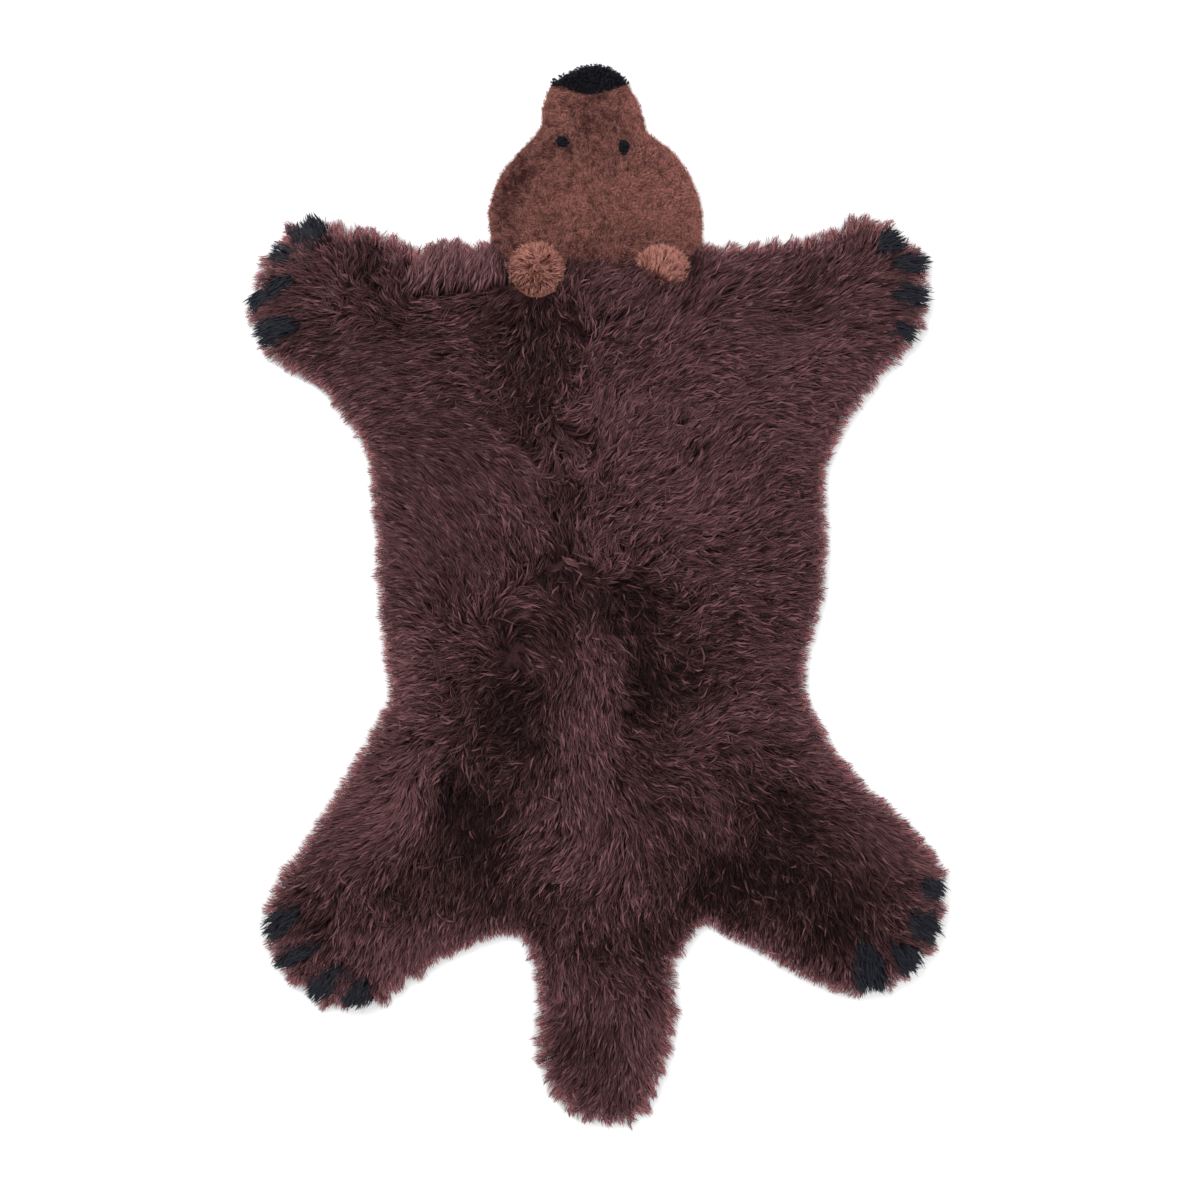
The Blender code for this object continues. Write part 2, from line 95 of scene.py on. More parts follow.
RIGHT_BACK_COMB = (
    (48, 334, 40, .1), (105, 345, 42), (116, 384, 55), (150, 377, 42), (195, 381, 45), (150, 312, 10, .1),
    (93, 312, 30, .1), (37, 300, 42, .2), (138, 267, 5, .1), (82, 256, 38, .2), (26, 256, 52, .2),
    (206, 256, 28, .1), (240, 227, 10, .1), (172, 222, 32, .1), (105, 222, 32, .2), (48, 210, 45, .3),
    (229, 188, -5, .1), (184, 177, 48, .2), (128, 177, 42, .2), (71, 177, 30, .3), (251, 132, -8),
    (217, 132, 15, .1), (167, 132, 48, .1), (116, 132, 38, .2), (60, 132, 22, .2), (245, 75, -5),
    (206, 75, 22, .1), (150, 75, 40, .1), (93, 87, 25, .2), (37, 87, 38, .3), (245, 19, -5),
    (195, 19, 15, .1), (138, 30, 28, .2), (82, 42, 25, .2), (26, 47, 45, .4), (93, -3, 15, .4),
    (161, -26, 12, .3), (229, -48, 0, .1),
)
RIGHT_ARM_COMB = (
    (235, 377, 62, .1), (262, 390, 52), (296, 411, 70), (324, 402, 55), (352, 368, 12), (369, 334, -3),
    (307, 368, 40), (307, 334, 5, .1), (262, 345, 30, .2), (352, 295, -12), (313, 295, 8, .1),
    (262, 300, 22, .1), (206, 300, 8), (273, 261, 5), (318, 250, -22), (285, 222, -18), (262, 188, -15),
)
LEFT_HIND_COMB = (
    (-227, -116, 180), (-278, -161, 188), (-300, -217, 188), (-346, -273, 196), (-368, -318, 205),
    (-334, -307, 192), (-278, -285, 190), (-255, -228, 194), (-240, -256, 198), (-210, -250, 228),
    (-196, -236, 265), (-199, -183, 205, .2), (-188, -116, 165, .2), (-137, -116, 225, .6),
    (-143, -206, 235, .7), (-98, -161, 215, .6), (-87, -93, 200, .6), (-98, -262, 245, .5),
    (-188, -318, 248, .3), (-244, -330, 235, .5), (-278, -341, 240, .3), (-312, -341, 215, .1),
    (-222, -375, 255), (-154, -375, 262), (-98, -358, 262), (-267, -409, 252, .1), (-239, -397, 262),
)
RIGHT_HIND_COMB = (
    (48, -93, 290, .6), (60, -150, 305, .6), (93, -93, 350, .6), (116, -161, 348, .2), (93, -228, 340, .2),
    (150, -116, 5, .2), (206, -105, 2, .1), (217, -161, -10, .1), (161, -195, -25, .3), (262, -228, -28),
    (206, -250, -50, .6), (150, -262, -65, .4), (105, -285, -62, .5), (318, -250, -28), (374, -296, -28),
    (341, -318, -25, .1), (385, -341, -15), (285, -318, -45, .3), (228, -318, -70, .6), (172, -330, -80, .4),
    (116, -341, -85, .2), (138, -375, -85), (206, -397, -82), (251, -420, -82), (296, -375, -70, .1),
)
TAIL_COMB = (
    (-42, -408, 252, .2), (3, -397, 268, .4), (54, -408, 282, .2), (-53, -465, 240, .1), (3, -465, 268, .1),
    (65, -465, 290), (-58, -521, 242, .1), (3, -521, 268, .2), (60, -521, 288), (-25, -572, 250),
    (26, -578, 275),
)
COMB = tuple(Tuft(*row) for row in (
    LEFT_ARM_COMB + LEFT_BACK_COMB + MIDDLE_COMB + RIGHT_BACK_COMB + RIGHT_ARM_COMB
    + LEFT_HIND_COMB + RIGHT_HIND_COMB + TAIL_COMB))
COMB_SOFT = 16.0
COMB_BENDS = ((34, 9), (13, 8))  # unevenness: sizes in millimetres, and degrees
STRIP_COMB = ((-215, -135, -95), (69, 76, 102))  # x, and the way there of the shoulder piece's wool
STRIP_SINK = 9.0  # how far back its roots start

# ---- painted shade and light: where wool is painted darker, mostly as shade in hollows and partings, or
# lighter, mostly as light on ridges: middle (x, y), half sizes, change in hundredths, turn in degrees ----
Shade = namedtuple("Shade", "x y across along change turn", defaults=(0,))
PAINTED_LIGHT_AND_SHADE = tuple(Shade(*row) for row in (
    (-249, 368, 24, 42, -24), (-115, 310, 28, 28, -10), (-64, 233, 28, 48, -26), (-75, 300, 38, 40, -12),
    (-80, 177, 15, 24, -22), (-36, 90, 16, 60, -16), (-42, 30, 42, 26, -20), (50, 8, 50, 14, -22),
    (35, -18, 62, 18, -28), (-103, -50, 10, 30, -24), (-42, -25, 12, 22, -20), (-109, -116, 48, 50, -12),
    (-154, -228, 42, 36, -26), (-177, -296, 62, 30, -12), (-98, -161, 34, 50, -10), (48, -105, 17, 50, -20),
    (71, -138, 26, 50, -10), (116, -105, 32, 18, -14), (206, -240, 46, 30, -22), (184, -307, 62, 35, -16),
    (285, -329, 36, 36, -18), (212, -245, 40, 32, -14), (116, -296, 40, 30, -12), (-238, -324, 18, 16, -15),
    (232, 350, 18, 42, -14), (112, 377, 9, 22, -30), (-8, -504, 35, 20, -14), (-8, -397, 46, 16, -12),
    (-8, -183, 30, 80, 12), (48, 177, 40, 40, 12), (5, 62, 30, 28, 12), (116, 222, 80, 60, 6),
    (-244, -228, 40, 50, 12), (3, -296, 50, 30, 10), (-20, 155, 35, 16, 10), (150, 60, 90, 90, 5),
    (-278, -273, 40, 45, 7), (127, 115, 70, 60, 4), (161, 312, 50, 24, 5), (-148, -228, 40, 40, -8),
    (71, -126, 24, 36, -8), (-64, 307, 26, 20, -8), (-160, 370, 50, 24, 8), (-170, 110, 60, 60, -2),
    (-45, -62, 26, 50, -14, 10), (-109, -138, 46, 50, -16), (-134, -268, 44, 60, -20),
    (-62, -170, 20, 60, -8), (52, -62, 34, 44, -16), (120, -70, 50, 40, -12), (48, -205, 26, 36, -14),
    (168, -318, 56, 50, -26), (262, -280, 52, 46, -22), (280, -372, 56, 40, -26), (118, -352, 46, 36, -14),
    (24, -392, 40, 26, -12), (184, -40, 44, 34, -8), (-199, 300, 60, 26, -10), (-322, -363, 34, 26, -12),
    (165, -205, 60, 30, -10), (-226, -236, 34, 36, 14), (-204, -396, 46, 26, 14), (-41, -239, 30, 40, 7),
    (-212, -62, 24, 50, 8), (-334, 414, 40, 26, 12), (150, 110, 50, 40, 5), (105, 448, 20, 44, 14),
    (-92, 480, 22, 38, -9, -30), (-30, 436, 26, 26, 5), (26, 526, 24, 26, -6), (-88, 459, 15, 52, -14, -14),
    (-75, 487, 26, 18, -5), (-118, 430, 8, 50, 10), (-36, 442, 38, 30, 12), (77, 447, 40, 55, 14),
    (15, 422, 26, 20, -12), (-8, 391, 45, 16, -12), (48, 408, 18, 18, -8), (-6, 538, 34, 42, -8),
    (-47, 560, 13, 25, 6), (43, 549, 12, 30, 8), (3, 490, 40, 9, -5), (-75, -105, 34, 56, -7),
    (-131, -160, 30, 30, -5), (-86, -341, 36, 36, -14), (-131, -341, 30, 30, -7), (-199, -329, 30, 24, -7),
    (117, -217, 40, 34, -14), (94, -183, 30, 30, -6), (49, -59, 24, 24, -7), (246, -312, 40, 84, -7),
    (139, -374, 30, 30, -7), (26, -408, 30, 28, -7), (-323, -374, 24, 24, -7), (4, 155, 24, 24, -7),
    (60, 166, 24, 24, -5), (4, 87, 24, 24, -5), (-109, 245, 24, 24, -7), (-142, 335, 24, 24, -6),
    (139, 31, 30, 30, -5), (-356, 380, 22, 22, 9), (-384, 335, 20, 26, 9), (319, 358, 26, 26, 7),
    (-221, -228, 28, 28, 7), (-188, -183, 26, 26, 7), (-278, -205, 28, 28, 5), (-289, -442, 26, 22, 7),
    (-221, -408, 26, 24, 7), (376, -318, 24, 26, 7), (342, -273, 26, 24, 5), (-204, 189, 26, 24, 5),
    (-210, -59, 26, 26, 5), (-244, 110, 24, 30, 5), (229, 132, 26, 30, 5), (117, 132, 28, 28, 5),
    (173, 267, 28, 26, 5), (60, -510, 26, 30, 7), (-30, 42, 24, 26, 5), (35, 553, 10, 26, 8),
    (55, 504, 20, 16, 8), (-104, 455, 12, 40, -12, -25), (80, 450, 36, 50, 6), (-270, 385, 26, 18, -12),
    (-315, 290, 24, 24, -10), (-165, 310, 34, 24, -7), (-109, 340, 24, 22, -7), (-64, -37, 30, 30, -9),
    (-7, 8, 26, 26, -7), (-109, 155, 26, 24, -5), (4, 93, 26, 26, -5), (71, 177, 28, 26, -6),
    (162, 189, 24, 24, -4), (-109, -250, 22, 22, -7), (-52, -194, 22, 24, -6), (38, -183, 22, 24, -6),
    (184, -48, 24, 24, -4), (-120, -341, 26, 20, -7), (-7, -341, 26, 20, -6), (83, -408, 20, 24, -10),
    (274, -386, 26, 22, -9), (212, -318, 24, 24, -5), (-300, -374, 24, 20, -8), (-30, -476, 22, 24, -6),
    (20, -170, 150, 230, -2.5), (-204, -70, 20, 28, 8), (-216, -228, 22, 32, 8), (-289, -442, 24, 16, 8),
    (370, -307, 24, 30, 6), (-41, 189, 22, 18, 6), (26, 222, 22, 20, 6), (10, 40, 30, 14, 5),
    (-368, 403, 24, 24, 7), (-384, 324, 16, 24, 7), (342, 301, 24, 20, 6), (218, 279, 26, 22, 4),
    (-30, 256, 20, 24, -8), (-109, 290, 30, 30, -5), (-300, 290, 20, 20, -5), (-199, 284, 30, 26, -4),
    (-97, 222, 24, 24, -4), (105, -70, 24, 24, -10), (-19, -3, 24, 20, -6), (-97, -104, 22, 26, -6),
    (60, -374, 20, 24, -10), (-30, -341, 22, 20, -6), (-120, -284, 22, 30, -6), (-221, -329, 24, 20, -6),
    (-165, -262, 24, 30, -5), (71, -262, 22, 30, -5), (207, -307, 40, 50, -5), (252, -374, 26, 20, -6),
    (71, 189, 24, 20, -5), (162, 177, 22, 24, -4), (-52, -206, 20, 22, -5), (-83, -45, 9, 9, -25),
    (-108, -38, 5, 24, -22, 15), (-106, 436, 9, 34, -12, -10), (-58, 189, 20, 16, 6), (4, 42, 26, 12, 6),
    (26, 318, 40, 30, 5), (117, 346, 30, 22, 4), (252, 256, 30, 24, 6), (319, 346, 26, 30, 9),
    (139, 121, 26, 24, 5), (252, 110, 12, 50, 6), (-221, -93, 16, 30, 7), (-221, -228, 30, 36, 8),
    (-289, -307, 30, 30, 5), (-244, -408, 40, 20, 6), (-41, -251, 18, 16, 5), (26, -307, 18, 18, 5),
    (26, -374, 18, 18, 5), (-30, -431, 20, 30, 6), (49, -510, 22, 30, 7), (375, -318, 22, 30, 6),
    (263, -194, 24, 14, 6), (319, -262, 24, 20, 5), (139, -172, 22, 20, 5), (-334, -307, 26, 20, 5),
    (-362, 385, 22, 20, 10), (-60, 478, 46, 60, -6), (0, 552, 50, 40, -7), (-366, 385, 18, 18, 18),
    (-264, 410, 14, 12, 14), (-200, 346, 90, 9, 7), (40, 352, 50, 14, 7), (90, 305, 60, 30, 4),
    (262, 275, 30, 26, 8), (238, 190, 24, 80, 5), (155, 132, 40, 34, 4), (-12, 217, 36, 16, 6),
    (-4, 32, 22, 14, 7), (128, -72, 20, 16, 9), (20, -98, 14, 20, 6), (136, -234, 13, 52, 12, 27),
    (253, -309, 24, 20, 6), (309, -362, 26, 20, 8), (298, -280, 36, 28, 7), (-218, -240, 14, 56, 12, -36),
    (-360, -376, 24, 24, 12), (-98, -364, 26, 16, -6), (71, -396, 16, 20, -6), (-216, -350, 18, 22, -5),
    (-298, -371, 18, 14, -5), (188, -202, 30, 14, -8), (105, 32, 30, 14, -5), (6, 120, 22, 16, -5),
    (32, 72, 22, 14, -5), (-91, 141, 16, 14, -5), (-204, 285, 24, 14, -4), (-317, 273, 18, 14, -5),
    (221, 342, 10, 22, -6), (-42, -44, 8, 12, -18), (-62, -20, 13, 14, 6), (-94, -56, 6, 6, 6),
    (-82, 495, 14, 75, -10, -20), (-110, 410, 10, 30, -8), (14, 366, 26, 12, 7), (-366, 390, 18, 18, 16),
    (-360, -385, 20, 20, 12), (-322, -446, 24, 16, 12), (-241, -430, 30, 12, 7), (-216, -134, 20, 30, 5),
    (-291, -284, 30, 26, 4), (8, 28, 16, 12, 7), (115, -186, 13, 22, 7), (21, -247, 20, 20, 4),
    (-60, -278, 24, 20, 4), (-29, -434, 22, 20, 5), (62, -490, 14, 26, 6), (309, -353, 20, 16, 4),
    (215, 198, 26, 30, 5), (122, 66, 24, 20, 4), (-62, -34, 32, 24, -6), (21, 78, 18, 14, -6),
    (-216, -336, 20, 16, -5), (-60, -372, 36, 16, -5), (90, -376, 16, 16, -7), (-29, -490, 18, 14, -4),
    (-5, -590, 40, 9, -8), (159, -172, 20, 16, -4), (221, 303, 14, 20, -4), (-115, 228, 40, 34, -3),
    (-305, 254, 26, 16, -4), (-80, 352, 30, 12, -8), (180, -230, 120, 110, 4), (10, 300, 330, 120, 2),
))

# ---- calm: where the wool lies smooth: middle (x, y), half sizes ----
CALM = (
    (-165, 150, 85, 75), (-180, 30, 60, 60), (200, 312, 80, 34), (-240, 260, 50, 50), (-290, -240, 60, 70),
    (320, -270, 60, 60), (-330, 330, 50, 60), (330, 330, 50, 60), (0, -500, 60, 70),
)

# ---- tufts: where the rim ends in pointed tufts instead of a fine fringe: middle (x, y), half sizes ----
TUFTED = (
    (0, -540, 110, 130), (-290, 410, 90, 50), (290, 405, 110, 40), (-150, 395, 90, 30), (-300, -450, 80, 40),
)

# ---- claws: the black patches' inner ends and tips, in the names of their nodes ----
Claw = namedtuple("Claw", "node root tip")
CLAWS = tuple(Claw(f"claw_{paw}_{number}", root, tip) for paw, rows in (
    ("front_left", (((-312, 396), (-326, 436)), ((-342, 382), (-374, 394)), ((-339, 361), (-398, 325)),
                    ((-334, 306), (-390, 292)))),
    ("front_right", (((314, 391), (352, 410)), ((329, 374), (382, 379)), ((329, 342), (382, 336)),
                     ((333, 306), (366, 289)))),
    ("hind_left", (((-332, -352), (-379, -381)), ((-311, -388), (-367, -418)), ((-281, -412), (-328, -455)),
                   ((-255, -431), (-274, -470)))),
    ("hind_right", (((366, -316), (397, -341)), ((353, -357), (392, -385)), ((332, -384), (365, -425)),
                    ((301, -386), (317, -452)))),
) for number, (root, tip) in enumerate(rows, 1))
CLAW_BACK = 12.0  # how far back a claw's roots start
CLAW_GROWN = {
    "claw_front_left_1": 8.0, "claw_front_left_2": 3.0, "claw_hind_right_1": 2.0, "claw_hind_right_2": 3.0,
    "claw_hind_right_3": 1.0, "claw_hind_right_4": 2.0, "claw_hind_left_3": 2.0, "claw_hind_left_4": 4.0,
}
CLAW_MOVED = {
    "claw_front_left_1": (-10.0, 1.0), "claw_hind_right_1": (3.0, -6.0), "claw_hind_right_3": (3.0, -8.0),
    "claw_hind_right_4": (-4.0, 0.0), "claw_hind_left_3": (-6.0, -3.0), "claw_hind_left_4": (-5.0, 0.0),
}

# ---- whorls: the points (x, y) that wool is combed away from; ears also have a swirl in degrees and how
# deep their middle looks ----
Ear = namedtuple("Ear", "node comb_from swirl deep")
EARS = (Ear("ear_left", (-64, 369), 14, -0.12), Ear("ear_right", (56, 335), 4, 0.0))
EYES, EYE_SWIRL = (("eye_left", (-39, 514)), ("eye_right", (31, 508))), 30
HEAD_WHORL, NOSE_WHORL = (0, 455), (-5, 545)

# ---- partings: where black wool gives way to brown under the nose, the part of the right ear that stands
# clear, and the line over which body wool laps it ----
NOSE_PARTING = ((-51, -36, -23, -4, 14, 33), (579, 576, 571.5, 568.5, 573, 580))
RIGHT_EAR_CLEAR = (72.5, 373.5, 31.5, 23.5)
RIGHT_EAR_LAP = (40.0, 374.0, 0.75)

# ---- curls: where the head's wool is curled, and where it is parted by dips darkened with painted shade: ----
# middle (x, y), half sizes ----
CURLED, PARTED_CURLS = (85, 430, 30, 50), (72, 440, 34, 60)

# ---- notches between tufts at the rim: middle (x, y), half sizes ----
NOTCHES = ((-201, 394, 4.0, 13.0), (-282, 416, 4.0, 9.0), (-236, 406, 3.0, 7.0))

# ---- wool, in millimetres: locks a pitch apart, each of so many strands; a strand's shortest and longest
# length and its width; rise: how high it starts, as a share of the fleece; spread and gather: the lock's
# half width at root and tip; wave and wavelength: its crimp; bends: pieces in a strand; loose: how far
# strands stray in height ----
Wool = namedtuple(
    "Wool", "pitch strands shortest longest width rise spread gather wave wavelength bends loose")
LONG = Wool(6.5, 9, 27, 44, 0.62, 0.70, 4.9, 4.5, 1.6, 28, 3, 1.0)
UNDER = Wool(6.5, 2, 27, 42, 2.4, 0.60, 4.4, 3.8, 1.6, 28, 3, 0.5)
COMBED = Wool(6.4, 10, 36, 54, 0.9, 0.45, 4.4, 1.9, 1.8, 34, 3, 1.4)
CLAW = Wool(5.6, 6, 22, 34, 1.1, 0.55, 5.0, 4.4, 1.0, 26, 4, 1.2)
CLAW_UNDER = Wool(5.6, 3, 24, 36, 2.2, 0.12, 5.0, 4.8, 0.6, 26, 4, 0.4)
EAR = Wool(2.5, 9, 13, 23, 0.5, 0.74, 2.0, 1.7, 0.8, 14, 3, 1.1)
RIM = Wool(4.6, 5, 16, 30, 0.72, 0.8, 3.6, 2.0, 0.5, 30, 3, 1.0)
SHORN = Wool(2.0, 8, 2.4, 4.4, 0.62, 0.80, 1.4, 1.2, 0.2, 8, 1, 0.7)
CURL = Wool(2.3, 7, 3.6, 6.4, 0.7, 0.80, 1.3, 0.9, 1.0, 4.5, 3, 0.6)
EYE = Wool(1.8, 7, 4, 5.5, 0.8, 0.8, 1.0, 0.9, 0.4, 7, 3, 0.4)

# ---- looks of the strands; tones run from 0, deep, to 1, light ----
MIDDLE_TONE, LOCK_TONE, STRAND_TONE = 0.44, 0.05, 0.29  # the middle, and how much locks and strands differ
PATCHES = ((9, 0.03), (26, 0.04))  # uneven dye: sizes in millimetres, and change
SHADE_DEPTH = 1.35  # how much a shade changes the tone
SHADE_CALM = 1.3  # how much a deep shade evens out the strands
SUNK = 0.6  # how much the wool sinks in a deep shade
UNRULY = 0.2  # the share of tangled locks that point anywhere
LIGHT_SHARE, LIGHT_TONE, LIGHT_RISE = 0.3, 0.34, 1.3  # some strands are lighter and stand proud
# painted highlight and shade: crimp crests are painted lighter, troughs darker
CREST_HIGHLIGHT = 0.09  # the crimp's crests catch light
# painted highlight and shade: one side of each strand is painted lighter, the other darker
SIDE_HIGHLIGHT = 0.008  # one side of a strand is lighter
RIM_LIGHT, RIM_LIGHT_REACH, HEAD_RIM_REACH = 0.38, 13.0, 4.0  # light through the rim
UNDER_TONE, STRIP_UNDER_TONE, CLAW_TONE, NOSE_TONE, RIM_TONE = -0.10, -0.16, 0.28, -0.18, 0.1
# painted light and shade: each ear is painted lighter to the upper right and darker to the lower left
EAR_CONTRAST, EAR_TONE, EAR_PAINTED_LIGHT = 1.7, 0.11, 0.007  # an ear grows lighter to the upper right
# painted shade: the size of the dark lines between curls, where the tips also dip
CURL_GAP = 2.4  # the size of the dark lines between curls
HEAD_SPOTS = 1.7

# ---- how locks lie, in degrees and millimetres ----
TANGLE_TURN, LOCK_TURN = 34.0, 5.0
LOCK_SHAKE, ROW_APART = 0.42, 0.866  # the honeycomb that locks stand on, in pitches
LOCK_SAMPLES = 9
SHORTEST_LOCK, LEAST_SHARE = 7.0, 0.4  # locks that would be cut shorter are left out
SHORTEST_STRAND = 0.58  # the least share of its lock that a strand runs
STRAY = 0.07  # how far strands turn out of their lock, as a share of their run
CALM_RIM, CALMEST, POINTED_RIM = 22.0, 0.85, 26.0
CRIMP_PATCH, CRIMP_TURNS = 11, 1.5  # neighbouring locks wave in step
TIP_DROP = 2.5
LOWEST, LOWEST_TIP_RISE = 0.8, 0.6  # strands stay over the floor
FRINGE, FRINGE_MARGIN, FRINGE_EVEN = 0.5, 0.15, 7.0  # the fine fringe: raggedness and smoothing
FRINGE_FROM = 14.0  # how far from the head and the claws it starts

# ---- how far inside the rim roots stand and matted wool ends, and the lattices of closed layers ----
ROOTS_INSET, CLAW_INSET, RIM_ROOTS = 5.0, 4.0, (3.0, 15.0)
UNDERWOOL_INSET, UNDERWOOL_THIN = 7.0, 24.0  # it ends at the one and is thinner up to the other
SKIN_PITCH, UNDERWOOL_PITCH, FINE_PITCH = 6, 8, 2

# ---- how far tips run past an edge, from shortest to longest, and how far a coat laps over others ----
OVERHANG, LAP, UNDER_LAP, RIM_OVERHANG = (-4.0, 6.0), (-3.0, 5.0), (-9.0, -0.5), (0.0, 8.5)
EAR_OVERHANG, HEAD_OVERHANG, NOSE_OVERHANG, EYE_OVERHANG = (-3.0, 4.5), (1.0, 3.5), (0.2, 1.2), (0.3, 2.0)
CLAW_LAP, EAR_LAP, HEAD_LAP, NOSE_LAP = 2.5, 7.0, 14.0, 3.4

# ---- matted wool under the strands: its bottom, its least top, and how far the head's is under the tips ----
FELT_BOTTOM, FELT_LEAST = 1.8, 2.4
PILE_UNDER_TIPS = 1.5

# ---- the hide under the wool: how far it ends inside the tips, and its thickness ----
HIDE_INSET = 16.0
HIDE_THICK = 1.7


# ---------------------------------------------------------------- the plan

def axis(half):
    return np.arange(-half, half + STEP / 2, STEP)


GRID_X, GRID_Y = axis(GRID_HALF[0]), axis(GRID_HALF[1])
PLAN_X, PLAN_Y = np.meshgrid(GRID_X, GRID_Y)


def blob(x, y, cx, cy, across, along):
    """1 at the middle (cx, cy), falling smoothly to 0 past the half sizes."""
    return np.exp(-(((x - cx) / across) ** 2 + ((y - cy) / along) ** 2))


def outside(x, y, cx, cy, across, along):
    """Whether points lie outside the ellipse."""
    return np.hypot((x - cx) / across, (y - cy) / along) > 1


def turned(x, y, cos, sin):
    """The vectors turned anticlockwise."""
    return x * cos - y * sin, x * sin + y * cos


def away(x, y, place):
    """Vectors to grid points from a table's place, which counts from the plan's own zero."""
    return x - place[0] + PLAN_ZERO[0], y - place[1] + PLAN_ZERO[1]


def soften(array, size):
    """The array with detail under size (a standard deviation in millimetres) smoothed away."""
    rows, columns = np.fft.fftfreq(array.shape[0], STEP), np.fft.rfftfreq(array.shape[1], STEP)
    keep = np.exp(-2 * (math.pi * size) ** 2 * (rows[:, None] ** 2 + columns[None, :] ** 2))
    return np.fft.irfft2(np.fft.rfft2(array) * keep, array.shape)


def unevenness(rng, size):
    """Smooth noise over the grid with features of that size, mostly between -2 and 2."""
    soft = soften(rng.standard_normal((len(GRID_Y), len(GRID_X))), size)
    return soft / soft.std()


def sample(array, x, y):
    """The array's value at points in millimetres, blended between its four nearest cells."""
    column = np.clip((x + GRID_HALF[0]) / STEP, 0, len(GRID_X) - 1.001)
    row = np.clip((y + GRID_HALF[1]) / STEP, 0, len(GRID_Y) - 1.001)
    c, r = column.astype(int), row.astype(int)
    u, v = column - c, row - r
    return ((array[r, c] * (1 - u) + array[r, c + 1] * u) * (1 - v)
            + (array[r + 1, c] * (1 - u) + array[r + 1, c + 1] * u) * v)


def distance_to(mask):
    """How far each cell is from the mask's nearest cell, up to the farthest that matters."""
    steps = int(FARTHEST / STEP)
    rows = np.where(mask, 0.0, FARTHEST)
    for axis_of in (1, 0):
        nearest = rows.copy() if axis_of else rows ** 2
        for shift in range(1, steps + 1):
            further = shift * STEP if axis_of else (shift * STEP) ** 2
            source = rows if axis_of else rows ** 2
            for way in (1, -1):
                moved = np.roll(source, way * shift, axis_of)
                nearest = np.minimum(nearest, moved + further)
        rows = nearest if axis_of else np.sqrt(nearest)
    return np.minimum(rows, FARTHEST)


def depth(mask):
    """Millimetres inside the mask's edge, negative outside."""
    return distance_to(~mask) - distance_to(mask)


def grown(mask, by):
    return distance_to(mask) <= by


